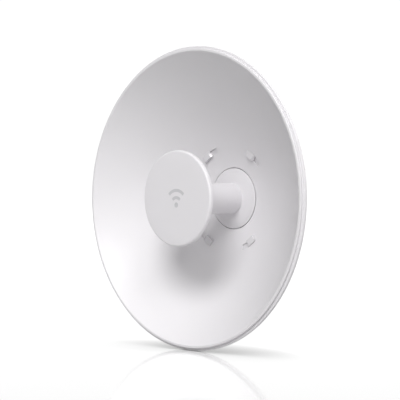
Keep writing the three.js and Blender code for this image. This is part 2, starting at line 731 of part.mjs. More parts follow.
function poleBracket() {
  const { x, half, round } = POLE_EAR;
  const { halfWidth, halfHeight, plate, flange } = CLAMP;
  const back = -plate;
  const front = -plate - STEEL;
  const shoulder = front - POLE_EAR.shoulder;
  const touch = tangent(LOCK_Y - shoulder, half, round);
  const ear = new THREE.Shape();
  ear.moveTo(front + 1, half);
  ear.lineTo(shoulder, half);
  ear.absarc(LOCK_Y, 0, round, Math.PI - touch, Math.PI + touch, false);
  ear.lineTo(shoulder, -half);
  ear.lineTo(front + 1, -half);
  ear.closePath();

  const ears = extrudeAlongX(ear, -x - STEEL, x + STEEL, 6);
  const hollow = block([-x, -200, -half - 1], [x, front, half + 1]);
  const across = x + STEEL + 1;
  const teeth = notchedFlange();
  const slots = QUADRANTS.map(([sx, sz]) =>
    block(
      [sx * BAND.x - BAND_SLOT.halfWidth, front - 1, sz * BAND.z - BAND_SLOT.halfHeight],
      [sx * BAND.x + BAND_SLOT.halfWidth, back + 1, sz * BAND.z + BAND_SLOT.halfHeight],
    ),
  );
  return cut(
    join(
      extrudeAlongY(roundedRectangle(halfWidth, halfHeight, 5), front, back, 3),
      extrudeAlongZ(teeth, flange - STEEL, flange),
      extrudeAlongZ(teeth, -flange, STEEL - flange),
      cut(ears, hollow),
    ),
    rod("x", BOLT.hole, -across, across, [0, PIVOT_Y, 0], 12),
    rod("x", BOLT.hole, -across, across, [0, LOCK_Y, 0], 12),
    ...slots,
  );
}

// ---------------------------------------------------------------- bolts and bands

const hexagon = (axis, corner, from, to, at) => rod(axis, corner, from, to, at, 6);

// A hexagon bolt along +X, with its head at negative x.
function hexBolt(seat, length) {
  const shank = rod("x", BOLT.radius, seat - 1, seat + length, [0, 0, 0], 12);
  return join(hexagon("x", BOLT.corner, seat - BOLT.head, seat), shank);
}

function flangeNut() {
  const flange = rod("x", BOLT.flange, 0, 1.5, [0, 0, 0], 14);
  const bore = rod("x", BOLT.radius + GAP, -1, BOLT.nut + 1, [0, 0, 0], 12);
  return cut(join(flange, hexagon("x", BOLT.corner, 1, BOLT.nut)), bore);
}

function tiltFasteners(group) {
  const seat = TILT_EAR.x + STEEL + GAP;
  const rows = [
    ["pivot", PIVOT_Y],
    ["lock", LOCK_Y],
  ];
  for (const [name, y] of rows) {
    place(group, `${name}_bolt`, hexBolt(-seat, 2 * seat + BOLT.length), steel, [0, y, 0]);
    place(group, `${name}_nut`, flangeNut(), steel, [seat, y, 0]);
  }
}

// The loop of a band, offset from its middle line: straight in front of the plate, straight through
// the slots, and round the back of the pole.
function bandLoop(Outline, offset) {
  const radius = BAND.radius + offset;
  const x = BAND.x + offset;
  const y = BAND.front - offset;
  const touch = Math.atan2(y, x) + Math.acos(radius / Math.hypot(x, y));
  const loop = new Outline();
  loop.moveTo(-x, y);
  loop.lineTo(x, y);
  loop.absarc(0, 0, radius, touch, Math.PI - touch, false);
  loop.closePath();
  return loop;
}

function clampBand() {
  const shape = bandLoop(THREE.Shape, BAND.thickness / 2);
  shape.holes.push(bandLoop(THREE.Path, -BAND.thickness / 2));
  return extrudeAlongZ(shape, -BAND.width / 2, BAND.width / 2, 20);
}

// The screw runs across the band in a short tunnel. Both are built at +X of the pole, and turned
// round it to their bearing.
function bandTunnel() {
  const inside = BAND.radius + BAND.thickness / 2 + GAP;
  const body = block([inside, -7.5, -7.4], [inside + 9.6, 7.5, 7.4]);
  return cut(body, rod("y", BAND_SCREW.radius + GAP, -9, 9, [BAND_SCREW.x, 0, 0], 12));
}

function bandScrew() {
  const { radius, head, from, to } = BAND_SCREW;
  const slot = block([-0.6, to + 3.4, -head - 1], [0.6, to + 6, head + 1]);
  const shank = rod("y", radius, from, to, [0, 0, 0], 12);
  return cut(join(shank, hexagon("y", head, to - 1, to + 4.6)), slot);
}

function poleBands(group) {
  const sides = [
    ["upper", BAND.z],
    ["lower", -BAND.z],
  ];
  for (const [side, z] of sides) {
    const clamp = new THREE.Group();
    clamp.position.z = z;
    place(clamp, `clamp_band_${side}`, clampBand(), steel);
    const drive = new THREE.Group();
    drive.rotation.z = radians(BAND_SCREW.bearing);
    place(drive, `band_tunnel_${side}`, bandTunnel(), steel);
    place(drive, `band_screw_${side}`, bandScrew(), steel, [BAND_SCREW.x, 0, 0]);
    clamp.add(drive);
    group.add(clamp);
  }
}

// ---------------------------------------------------------------- assembly

const antenna = new THREE.Group();
antenna.position.y = HUB_Y;
place(antenna, "dish_reflector", reflector(), whitePaint);
feedParts(antenna);
housingParts(antenna);
electronics(antenna);
QUADRANTS.forEach(([x, z], i) => {
  const screw = panScrew(HOUSING_BACK + STEEL + 2 * GAP, 27, 2.1, 4.4, 3);
  place(antenna, `bracket_screw_${i + 1}`, screw, steel, [
    x * BRACKET_SCREW.x,
    0,
    z * BRACKET_SCREW.z,
  ]);
});

const mount = new THREE.Group();
place(mount, "tilt_bracket", tiltBracket(), steel);
place(mount, "pole_bracket", poleBracket(), steel);
tiltFasteners(mount);
poleBands(mount);

const bridge = new THREE.Group();
bridge.add(antenna, mount);

export default bridge;
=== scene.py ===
"""Looks of the outdoor wireless bridge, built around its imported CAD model.

Lengths are in millimetres and are turned into metres by MM. "Hub frame" means that y = 0 is the plane
where the dish meets the base of the feed; row() turns such a y into the model's own.
"""

import math

import bmesh
import bpy
from mathutils import Matrix, Vector


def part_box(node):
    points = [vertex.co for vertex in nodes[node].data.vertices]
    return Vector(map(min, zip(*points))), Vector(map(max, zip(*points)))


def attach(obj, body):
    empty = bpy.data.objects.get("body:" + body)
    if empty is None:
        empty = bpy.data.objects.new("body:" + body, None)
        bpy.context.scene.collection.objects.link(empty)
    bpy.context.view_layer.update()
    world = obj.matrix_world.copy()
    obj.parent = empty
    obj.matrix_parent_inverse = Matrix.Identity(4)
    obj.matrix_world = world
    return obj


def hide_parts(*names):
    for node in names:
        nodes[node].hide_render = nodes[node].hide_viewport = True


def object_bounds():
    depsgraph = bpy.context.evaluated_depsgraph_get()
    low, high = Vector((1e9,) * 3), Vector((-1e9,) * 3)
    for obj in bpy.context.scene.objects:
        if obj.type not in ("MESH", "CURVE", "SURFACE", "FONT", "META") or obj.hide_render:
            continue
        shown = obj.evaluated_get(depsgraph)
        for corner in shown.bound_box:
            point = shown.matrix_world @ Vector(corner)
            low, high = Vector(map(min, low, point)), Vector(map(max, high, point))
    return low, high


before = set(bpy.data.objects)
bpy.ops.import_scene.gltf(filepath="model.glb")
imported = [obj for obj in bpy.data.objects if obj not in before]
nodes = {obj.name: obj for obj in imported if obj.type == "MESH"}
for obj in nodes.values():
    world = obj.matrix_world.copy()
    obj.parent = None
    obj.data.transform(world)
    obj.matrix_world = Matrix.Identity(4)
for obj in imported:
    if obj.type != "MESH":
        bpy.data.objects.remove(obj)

cad_low, cad_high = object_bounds()
MM = 0.001
TURN = 2 * math.pi


def low(node):
    """Lowest corner of a CAD node, in millimetres."""
    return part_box(node)[0] / MM


def high(node):
    """Highest corner of a CAD node, in millimetres."""
    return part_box(node)[1] / MM


def middle(node):
    """Middle of a CAD node's box, in millimetres."""
    return (low(node) + high(node)) / 2


def row(y):
    """A y of the hub frame in the model's frame."""
    return HUB_Y + y


# ---- driving dimensions

GAP = 0.3
SHEET = 1.6
FOCAL_LENGTH = 110.2
HUB_RADIUS = 43.9
APERTURE_RADIUS = 202.8
DISH_RADIUS = high("dish_reflector").x

HEAD_FRONT = -112.5
HUB_Y = low("feed_cap").y - HEAD_FRONT
HEAD_BACK = high("feed_cap").y - HUB_Y
HEAD_RADIUS = high("feed_cap").x
HEAD_WALL = 2.2
INK_DEPTH = 0.05  # the ink stands this far proud of the cap
NECK_RADIUS = 21.5
NECK_WALL = 2.5
NECK_RISE = 4.6
BASE_RADIUS = 43

HOUSING_RADIUS = high("rear_shell").x
GROUND_RISE = 0.8  # the pad for a ground wire's ring stands this far out of the housing's back
GROUND_LUG = 2.2  # and its screw's head this far above the pad
HOUSING_BACK = high("rear_shell").y - HUB_Y - GROUND_RISE
HOUSING_ROUND = 14
WALL = 2.8
SPLIT_FRONT = high("front_shell").y - HUB_Y
SPLIT_REAR = low("rear_shell").y - HUB_Y
LATCH_ANGLES = (49, 119.5, 229.5, 299.5)
LATCH = {"inner": 69, "outer": 78, "end": 12, "gap": 0.7, "height": 3.2}
STEM = {"inner": 70.4, "outer": 76.6, "end": 4.6}
SLOT = {"inner": 69.8, "outer": 77.2, "start": -9.5, "end": 5.4}
BAY_CEILING = -50
BAY_HALF_WIDTH = 32
BAY_FRONT = SPLIT_REAR + WALL
COVER_WALL = 2.4
COVER_PLAY = 0.4
CABLE_Y = 27.5
SHELL_SCREW_SEAT = 29
LIGHT_X = 58
LIGHT_END = 12.5

STEEL = 3
PIVOT_Y = (low("pivot_nut").y + high("pivot_nut").y) / 2
LOCK_Y = (low("lock_nut").y + high("lock_nut").y) / 2
LOCK_RADIUS = PIVOT_Y - LOCK_Y
PLATE_BACK = -31
BOLT_RADIUS = 2.9
BOLT_HOLE = 3.4
BOLT_CORNER = 5.77
POLE_RADIUS = 25
BAND_RADIUS, BAND_THICKNESS, BAND_WIDTH = 25.8, 0.7, 12.7
BAND_X, BAND_Z, BAND_FRONT = 31.5, 37.5, -34.9
WORM_X, WORM_BEARING = 31.6, 160
QUADRANTS = ((1, 1), (-1, 1), (-1, -1), (1, -1))
SHELL_SCREW = (low("shell_screw_1").x + high("shell_screw_1").x) / 2
SHELL_SCREWS = [(SHELL_SCREW * x, SHELL_SCREW * z) for x, z in QUADRANTS]
BRACKET_SCREWS = [(14 * x, 24 * z) for x, z in QUADRANTS]


# ---- materials


class Shader:
    """A Principled material with helpers for its node tree."""

    def __init__(self, name, color, roughness, metallic=0.0, specular=0.5):
        self.material = bpy.data.materials.new(name)
        self.material.use_nodes = True
        self.tree = self.material.node_tree
        self.bsdf = self.tree.nodes["Principled BSDF"]
        self.color = (*color, 1)
        self.roughness = roughness
        self.set("Base Color", self.color)
        self.set("Roughness", roughness)
        self.set("Metallic", metallic)
        self.set("Specular IOR Level", specular)
        self.place = self.node("TexCoord").outputs["Object"]

    def set(self, socket, value):
        self.bsdf.inputs[socket].default_value = value

    def link(self, output, socket):
        self.tree.links.new(output, socket)

    def node(self, kind, **values):
        """A new node, with values for its sockets. A socket's name has _ for each space."""
        made = self.tree.nodes.new("ShaderNode" + kind)
        for socket, value in values.items():
            made.inputs[socket.replace("_", " ")].default_value = value
        return made

    def noise(self, scale, detail=3.0, roughness=0.5, stretch=None):
        """Noise with features about 1 / scale metres across, stretched along the axes on request."""
        node = self.node("TexNoise", Scale=scale, Detail=detail, Roughness=roughness)
        place = self.place
        if stretch:
            mapping = self.node("Mapping", Scale=stretch)
            self.link(place, mapping.inputs["Vector"])
            place = mapping.outputs["Vector"]
        self.link(place, node.inputs["Vector"])
        return node.outputs["Fac"]

    def cells(self, scale):
        """Crystal-like cells, each with its own grey."""
        node = self.node("TexVoronoi", Scale=scale)
        self.link(self.place, node.inputs["Vector"])
        return node.outputs["Color"]

    def spread(self, source, least, most, span=(0.3, 0.7)):
        """Maps a grey from a span, by default a noise's usual one, onto least to most."""
        start, end = span
        node = self.node("MapRange", From_Min=start, From_Max=end, To_Min=least, To_Max=most)
        self.link(source, node.inputs["Value"])
        return node.outputs["Result"]

    def calculate(self, operation, source, other):
        """A Math node on a source, with a number or a second source."""
        node = self.node("Math")
        node.operation = operation
        self.link(source, node.inputs[0])
        if isinstance(other, float):
            node.inputs[1].default_value = other
        else:
            self.link(other, node.inputs[1])
        return node.outputs[0]

    def tint(self, source, most, other, span=(0.3, 0.7)):
        """Mixes up to a share of another colour in, by a grey."""
        node = self.node("Mix")
        node.data_type = "RGBA"
        node.inputs["A"].default_value = self.color
        node.inputs["B"].default_value = (*other, 1)
        self.link(self.spread(source, 0, most, span), node.inputs["Factor"])
        self.link(node.outputs["Result"], self.bsdf.inputs["Base Color"])

    def vary_roughness(self, source, by):
        value = self.spread(source, self.roughness - by, self.roughness + by)
        self.link(value, self.bsdf.inputs["Roughness"])

    def bump(self, source, height, strength=1.0):
        """Adds relief of a height in millimetres."""
        node = self.node("Bump", Distance=height * MM, Strength=strength)
        self.link(source, node.inputs["Height"])
        self.link(node.outputs["Normal"], self.bsdf.inputs["Normal"])


def powder_coat():
    """White powder coat on sheet metal: a soft gloss over a fine orange peel."""
    s = Shader("powder_coat", (0.818, 0.803, 0.822), 0.42)
    s.set("Coat Weight", 0.12)
    s.set("Coat Roughness", 0.3)
    s.tint(s.noise(14, 2), 0.4, (0.798, 0.783, 0.80))
    s.vary_roughness(s.noise(60, 3), 0.03)
    s.bump(s.noise(620, 1.5), 0.012, 0.3)
    return s.material


def moulded_white(name="moulded_white", color=(0.785, 0.769, 0.79)):
    """UV-stable plastic with a fine spark-eroded texture."""
    s = Shader(name, color, 0.46)
    s.tint(s.noise(22, 3), 0.5, [0.965 * c for c in color])
    s.vary_roughness(s.noise(90, 3), 0.05)
    s.bump(s.noise(2600, 2, 0.6), 0.02, 0.6)
    return s.material


def polished_shaded_white():
    """The same plastic where the mould is polished, in a darker grey that is painted shade on the latches."""
    s = Shader("polished_shaded_white", (0.74, 0.725, 0.745), 0.2)
    s.tint(s.noise(40, 3), 0.5, (0.72, 0.705, 0.725))
    s.vary_roughness(s.noise(90, 3), 0.03)
    s.bump(s.noise(900, 2, 0.6), 0.006, 0.3)
    return s.material


def zinc():
    """Rolled steel sheet under bright zinc: a faint grain, spangle and handling marks."""
    color = (0.60, 0.615, 0.63)
    s = Shader("zinc_plate", color, 0.36, 1.0)
    s.tint(s.cells(260), 0.6, [0.82 * c for c in color])
    s.vary_roughness(s.noise(120, 5, 0.65), 0.09)
    s.bump(s.noise(420, 4, 0.6, (1, 1, 0.12)), 0.02, 0.4)
    return s.material


def bolt_zinc():
    """Zinc on hardware: smoother and a little bluer than on the brackets."""
    s = Shader("bolt_zinc", (0.66, 0.68, 0.71), 0.27, 1.0)
    s.tint(s.noise(240, 3), 0.7, (0.56, 0.575, 0.59))
    s.vary_roughness(s.noise(500, 4), 0.08)
    s.bump(s.noise(1500, 2), 0.01, 0.4)
    return s.material


def stainless_band():
    """Stainless band steel, brushed along its length."""
    s = Shader("stainless_band", (0.63, 0.62, 0.60), 0.28, 1.0)
    s.vary_roughness(s.noise(900, 3, 0.6, (0.08, 0.08, 1)), 0.09)
    s.tint(s.noise(60, 2), 0.5, (0.55, 0.545, 0.53))
    s.bump(s.noise(2200, 2, 0.5, (0.05, 0.05, 1)), 0.008, 0.5)
    return s.material


def rubber():
    s = Shader("grey_rubber", (0.12, 0.12, 0.125), 0.72, specular=0.35)
    s.tint(s.noise(150, 3), 0.7, (0.16, 0.16, 0.165))
    s.vary_roughness(s.noise(300, 3), 0.07)
    s.bump(s.noise(1800, 3), 0.03, 0.6)
    return s.material


def black_plastic():
    s = Shader("black_plastic", (0.018, 0.018, 0.02), 0.45)
    s.tint(s.noise(200, 3), 0.7, (0.028, 0.028, 0.03))
    s.vary_roughness(s.noise(240, 3), 0.07)
    s.bump(s.noise(2400, 2), 0.02, 0.6)
    return s.material


def clear_plastic():
    """The milky end of a light pipe."""
    s = Shader("clear_plastic", (0.80, 0.85, 0.88), 0.2)
    s.set("Transmission Weight", 0.35)
    s.set("IOR", 1.49)
    s.vary_roughness(s.noise(300, 2), 0.05)
    s.bump(s.noise(800, 2), 0.01, 0.3)
    return s.material


def bare_aluminium():
    s = Shader("bare_aluminium", (0.77, 0.78, 0.79), 0.32, 1.0)
    s.tint(s.noise(80, 3), 0.5, (0.70, 0.71, 0.72))
    s.vary_roughness(s.noise(400, 3, 0.6, (1, 1, 0.1)), 0.1)
    s.bump(s.noise(900, 3, 0.6, (1, 1, 0.08)), 0.012, 0.5)
    return s.material


def tin_plate():
    s = Shader("tin_plate", (0.70, 0.70, 0.69), 0.24, 1.0)
    s.tint(s.noise(180, 3), 0.6, (0.62, 0.615, 0.60))
    s.vary_roughness(s.noise(350, 4), 0.08)
    s.bump(s.noise(250, 2), 0.02, 0.4)
    return s.material


def solder_mask():
    """Green lacquer over a board's tracks."""
    s = Shader("solder_mask", (0.012, 0.10, 0.045), 0.3)
    tracks = s.node("TexBrick", Scale=240, Mortar_Size=0.12)
    s.link(s.place, tracks.inputs["Vector"])
    s.tint(tracks.outputs["Fac"], 0.8, (0.03, 0.19, 0.08), (0, 1))
    s.vary_roughness(s.noise(500, 3), 0.06)
    s.bump(tracks.outputs["Fac"], 0.03, 0.5)
    return s.material


def thermal_rubber():
    s = Shader("thermal_rubber", (0.30, 0.36, 0.44), 0.8, specular=0.3)
    s.tint(s.noise(300, 4), 0.8, (0.24, 0.30, 0.38))
    s.vary_roughness(s.noise(400, 2), 0.06)
    s.bump(s.noise(900, 3), 0.04, 0.6)
    return s.material


def gold_contacts():
    s = Shader("gold_contacts", (0.85, 0.62, 0.26), 0.22, 1.0)
    s.tint(s.noise(900, 2), 0.5, (0.76, 0.53, 0.21))
    s.vary_roughness(s.noise(900, 2), 0.06)
    s.bump(s.noise(2000, 2), 0.005, 0.4)
    return s.material


def printed_grey():
    """Light grey ink, pad-printed on the feed's cap."""
    s = Shader("printed_grey", (0.62, 0.615, 0.635), 0.5)
    s.tint(s.noise(700, 3), 0.6, (0.65, 0.645, 0.665))
    s.vary_roughness(s.noise(500, 2), 0.05)
    s.bump(s.noise(2600, 2), 0.015, 0.5)
    return s.material


PAINT = powder_coat()
WHITE = moulded_white()
# A lighter copy of the moulded white for the cap and its cone, brighter than the neck of the same plastic:
# painted light.
WHITE_FEED_LIT = moulded_white("moulded_white_lit_feed", (0.845, 0.827, 0.85))
# Polished copy for the latches; its darker grey is painted shade.
SHADED_GLOSS = polished_shaded_white()
ZINC = zinc()
BOLT = bolt_zinc()
BAND = stainless_band()
RUBBER = rubber()
BLACK = black_plastic()
CLEAR = clear_plastic()
ALUMINIUM = bare_aluminium()
TIN = tin_plate()
CIRCUIT = solder_mask()
THERMAL = thermal_rubber()
GOLD = gold_contacts()
INK = printed_grey()


# ---- outlines


def ramp(start, end, count):
    """count + 1 numbers from start to end."""
    return [start + (end - start) * i / count for i in range(count + 1)]


def arc(centre, radius, start, end, count):
    """Points on an arc, with its angles in degrees."""
    x, y = centre
    return [
        (x + radius * math.cos(math.radians(a)), y + radius * math.sin(math.radians(a)))
        for a in ramp(start, end, count)
    ]


def circle(radius, centre, count):
    return arc(centre, radius, 0, 360 - 360 / count, count - 1)


def rounded(corners, count=5):
    """A closed outline with each corner (x, y, radius) rounded."""
    made = []
    for i, (x, y, radius) in enumerate(corners):
        if radius <= 0:
            made.append((x, y))
            continue
        here = Vector((x, y))
        before = Vector(corners[i - 1][:2]) - here
        after = Vector(corners[(i + 1) % len(corners)][:2]) - here
        half = before.angle(after) / 2
        reach = min(radius / math.tan(half), 0.49 * before.length, 0.49 * after.length)
        radius = reach * math.tan(half)
        centre = here + (before.normalized() + after.normalized()).normalized() * radius / math.sin(half)
        first = here + before.normalized() * reach - centre
        last = here + after.normalized() * reach - centre
        sweep = first.angle_signed(last)
        for k in range(count + 1):
            turned = first.copy()
            turned.rotate(Matrix.Rotation(-sweep * k / count, 2))
            made.append(tuple(centre + turned))
    return made


def rectangle(half_x, half_y, radius, centre=(0, 0), count=5):
    x, y = centre
    corners = [(half_x, half_y), (-half_x, half_y), (-half_x, -half_y), (half_x, -half_y)]
    return rounded([(x + a, y + b, radius) for a, b in corners], count)


# ---- meshes


def to_object(name, mesh, material, sharp=32):
    """A new object from a bmesh, with outward normals and edges above an angle kept sharp."""
    bmesh.ops.recalc_face_normals(mesh, faces=mesh.faces)
    data = bpy.data.meshes.new(name)
    mesh.to_mesh(data)
    mesh.free()
    made = bpy.data.objects.new(name, data)
    bpy.context.scene.collection.objects.link(made)
    data.materials.append(material)
    return smooth(made, sharp)


def smooth(made, sharp):
    data = made.data
    data.polygons.foreach_set("use_smooth", [True] * len(data.polygons))
    data.set_sharp_from_angle(angle=math.radians(sharp))
    return made


def finished(made, sharp=32):
    """Applies an object's modifiers."""
    graph = bpy.context.evaluated_depsgraph_get()
    data = bpy.data.meshes.new_from_object(made.evaluated_get(graph))
    made.modifiers.clear()
    old = made.data
    made.data = data
    bpy.data.meshes.remove(old)
    return smooth(made, sharp)


def bevel(made, width, segments=2, angle=40):
    """Rounds an object's sharp edges by a width in millimetres."""
    weld = made.modifiers.new("weld", "WELD")
    weld.merge_threshold = 0.002 * MM
    edge = made.modifiers.new("bevel", "BEVEL")
    edge.width = width * MM
    edge.segments = segments
    edge.limit_method = "ANGLE"
    edge.angle_limit = math.radians(angle)
    finished(made)
    made.modifiers.new("normals", "WEIGHTED_NORMAL").keep_sharp = True
    return made


def combine(made, operation, *others):
    """Cuts, joins or crosses an object with others, which are used up."""
    for other in others:
        step = made.modifiers.new(operation, "BOOLEAN")
        step.operation = operation
        step.solver = "EXACT"
        step.object = other
        bpy.context.view_layer.update()
        finished(made)
        bpy.data.objects.remove(other)
    return made


def cut(made, *others):
    return combine(made, "DIFFERENCE", *others)


def join(made, *others):
    return combine(made, "UNION", *others)


def gather(name, parts, material, sharp=32):
    """One object made of several that stay apart, which are used up."""
    mesh = bmesh.new()
    for part in parts:
        mesh.from_mesh(part.data)
        bpy.data.objects.remove(part)
    return to_object(name, mesh, material, sharp)


def loft(name, rings, material, sharp=32):
    """A solid through rings of (x, y, z) in millimetres, flat at both ends."""
    mesh = bmesh.new()
    rings = [[mesh.verts.new([c * MM for c in point]) for point in ring] for ring in rings]
    for one, two in zip(rings, rings[1:]):
        for i in range(len(one)):
            j = (i + 1) % len(one)
            mesh.faces.new((one[i], one[j], two[j], two[i]))
    mesh.faces.new(rings[0])
    mesh.faces.new(rings[-1])
    return to_object(name, mesh, material, sharp)


def lathe(name, outline, material, segments=160, at=(0, 0)):
    """Turns an outline of (radius, y) in the hub frame about the hub's axis, moved to (x, z)."""
    mesh = bmesh.new()
    rings = []
    for r, y in outline:
        turns = [TURN * i / segments for i in range(segments)] if r else [0]
        around = [(at[0] + r * math.cos(a), at[1] + r * math.sin(a)) for a in turns]
        rings.append([mesh.verts.new((x * MM, row(y) * MM, z * MM)) for x, z in around])
    pairs = list(zip(rings, rings[1:]))
    if len(rings[0]) > 1:
        pairs.append((rings[-1], rings[0]))
    for one, two in pairs:
        for i in range(segments):
            corners = [ring[k % len(ring)] for ring, k in ((one, i), (one, i + 1), (two, i + 1), (two, i))]
            unique = list(dict.fromkeys(corners))
            if len(unique) > 2:
                mesh.faces.new(unique)
    return to_object(name, mesh, material)


# Where a flat outline's (u, v) and its depth w go.
ALONG = {
    "x": lambda u, v, w: (w, u, v),
    "y": lambda u, v, w: (u, w, v),
    "z": lambda u, v, w: (u, v, w),
}


def prism(name, outline, start, end, axis, material=WHITE, sharp=32):
    """Extrudes a closed outline along an axis. Along x it is (y, z), along y (x, z), along z (x, y)."""
    rings = [[ALONG[axis](u, v, w) for u, v in outline] for w in (start, end)]
    return loft(name, rings, material, sharp)


def block(name, corner, other, material=WHITE):
    """A box between two corners."""
    (x0, y0, z0), (x1, y1, z1) = corner, other
    return prism(name, [(x0, y0), (x1, y0), (x1, y1), (x0, y1)], z0, z1, "z", material)


def rod(name, radius, start, end, axis, centre, material=WHITE, count=32):
    return prism(name, circle(radius, centre, count), start, end, axis, material)


def about_hub(r, y, degrees):
    """The point at a radius and an angle about the hub's axis, with its y in the hub frame."""
    a = math.radians(degrees)
    return r * math.cos(a), row(y), r * math.sin(a)


def place(made, body, slot, *stands_for):
    """Puts a finished piece on its body and hides the CAD nodes it stands for."""
    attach(made, body)
    if stands_for:
        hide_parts(*stands_for)


# ---- dish


def dish_front(r):
    return -(r * r - HUB_RADIUS ** 2) / (4 * FOCAL_LENGTH)


def dish_back(r):
    return dish_front(r) + SHEET * math.hypot(1, r / (2 * FOCAL_LENGTH))


def dish_profile():
    """The sheet's closed outline, and the rows of its front and back that cross the slots."""
    lip = dish_front(APERTURE_RADIUS) - 0.5
    step = lip + 4
    end = lip + 8.6
    lip_radius = 206.7
    across = ramp(SLOT["inner"], SLOT["outer"], 3)
    hole = [(HUB_RADIUS, 0.4), (HUB_RADIUS + 0.2, dish_front(HUB_RADIUS + 0.2))]
    inner = ramp(HUB_RADIUS + 1.5, SLOT["inner"], 8)[:-1]
    outer = ramp(SLOT["outer"], APERTURE_RADIUS - 1.2, 36)[1:]
    front = [(r, dish_front(r)) for r in inner + across + outer]
    lip_crest = arc((APERTURE_RADIUS + 0.9, lip + 1.2), 1.2, 232, 270, 3)
    lip_corner = arc((lip_radius - 1.1, lip + 1.1), 1.1, 270, 360, 6)
    groove = [(lip_radius, step - 0.9), (lip_radius - 0.35, step - 0.45), (lip_radius - 0.35, step - 0.05)]
    ledge = [(lip_radius + 0.1, step)]
    corner = arc((DISH_RADIUS - 0.9, step + 0.9), 0.9, 270, 360, 6)
    hem = arc((DISH_RADIUS - SHEET / 2, end - SHEET / 2), SHEET / 2, 0, 180, 8)
    inside = [
        (DISH_RADIUS - SHEET, step + SHEET + 0.8),
        (DISH_RADIUS - SHEET - 0.8, step + SHEET),
        (lip_radius - SHEET + 0.8, step + SHEET),
        (lip_radius - SHEET, step + SHEET - 0.8),
        (lip_radius - SHEET, lip + SHEET + 0.9),
    ]
    back_outer = ramp(lip_radius - SHEET - 0.9, SLOT["outer"], 36)
    back_inner = ramp(SLOT["inner"], HUB_RADIUS + 0.4, 6)
    back = [(r, dish_back(r)) for r in back_outer + across[-2:0:-1] + back_inner]
    outline = hole + front + lip_crest + lip_corner + groove + ledge + corner + hem + inside + back
    outline.append((HUB_RADIUS, dish_back(HUB_RADIUS) - 0.4))
    first = len(hole) + len(inner)
    last = outline.index(back[len(back_outer) - 1])
    return outline, [first + i for i in range(4)], [last + 3 - i for i in range(4)]


def dish():
    """The reflector, with four open slots for the housing's latches."""
    outline, front_rows, back_rows = dish_profile()
    regular = [360 * i / 288 for i in range(288)]
    edges = [a + SLOT[k] for a in LATCH_ANGLES for k in ("start", "end")]
    kept = [a for a in regular if min(abs(a - e) for e in edges) > 0.4]
    angles = sorted(kept + edges)
    mesh = bmesh.new()
    rings = [
        [mesh.verts.new([c * MM for c in about_hub(r, y, a)]) for a in angles]
        for r, y in outline
    ]

    def in_slot(column):
        a = angles[column]
        return any(s + SLOT["start"] - 1e-6 <= a < s + SLOT["end"] - 1e-6 for s in LATCH_ANGLES)

    rows, columns = len(outline), len(angles)
    open_rows = set(front_rows[:-1]) | set(back_rows[1:])
    for i in range(rows):
        for j in range(columns):
            if i in open_rows and in_slot(j):
                continue
            n, k = (i + 1) % rows, (j + 1) % columns
            mesh.faces.new((rings[i][j], rings[i][k], rings[n][k], rings[n][j]))
    for j in range(columns):
        if not in_slot(j):
            continue
        k = (j + 1) % columns
        for side in (0, -1):
            f, b = rings[front_rows[side]], rings[back_rows[side]]
            mesh.faces.new((f[j], f[k], b[k], b[j]))
        for edge, beyond in ((j, j - 1), (k, k)):
            if in_slot(beyond):
                continue
            for wall in zip(front_rows, front_rows[1:], back_rows[1:], back_rows):
                mesh.faces.new([rings[i][edge] for i in wall])
    place(to_object("dish", mesh, PAINT, 38), "antenna", "dish_paint", "dish_reflector")


# ---- feed


def cap():
    face = HEAD_FRONT + INK_DEPTH
    inner = HEAD_RADIUS - HEAD_WALL
    outline = [(0, face), (20, face), (44, face)]
    outline += arc((HEAD_RADIUS - 2.7, face + 2.7), 2.7, 270, 360, 10)
    outline += [(HEAD_RADIUS, HEAD_BACK - 0.3), (HEAD_RADIUS - 0.3, HEAD_BACK)]
    outline += [(inner + 0.2, HEAD_BACK), (inner, HEAD_BACK - 0.2)]
    outline += [(inner, face + HEAD_WALL + 1), (inner - 1, face + HEAD_WALL), (0, face + HEAD_WALL)]
    place(lathe("feed_cap_shell", outline, WHITE_FEED_LIT, 192), "antenna", "white_plastic", "feed_cap")


def cap_mark():
    """A plain radio symbol on the cap: a dot with two arcs above it."""
    front = row(HEAD_FRONT)
    back = row(HEAD_FRONT + INK_DEPTH + 0.02)
    centre = (0, -9)
    half = 2.1
    parts = [rod("dot", 3.6, front, back, "y", centre, INK, 40)]
    for radius in (10, 20):
        edge = arc(centre, radius + half, 45, 135, 32) + arc(centre, radius - half, 135, 45, 32)
        parts.append(prism("arc", edge, front, back, "y", INK))
    place(gather("cap_mark", parts, INK), "antenna", "white_plastic")


def backshell():
    edge = HEAD_RADIUS - HEAD_WALL - GAP
    top = HEAD_BACK + 12.6
    corners = [
        (edge, HEAD_BACK - 2.4, 0.2),
        (edge, HEAD_BACK + 0.4, 0.9),
        (edge - 1.6, HEAD_BACK + 1.6, 1.5),
        (NECK_RADIUS + 6, top - 2, 5),
        (NECK_RADIUS + 1.6, top, 1.1),
        (NECK_RADIUS + GAP, top, 0.3),
        (NECK_RADIUS + GAP, top - 6, 0.3),
        (NECK_RADIUS + 4, top - 6.4, 1),
        (edge - 3, HEAD_BACK - 0.4, 1),
        (edge - 2.2, HEAD_BACK - 2.4, 0.3),
    ]
    made = lathe("feed_cone", rounded(corners), WHITE_FEED_LIT)
    place(made, "antenna", "white_plastic", "feed_backshell")


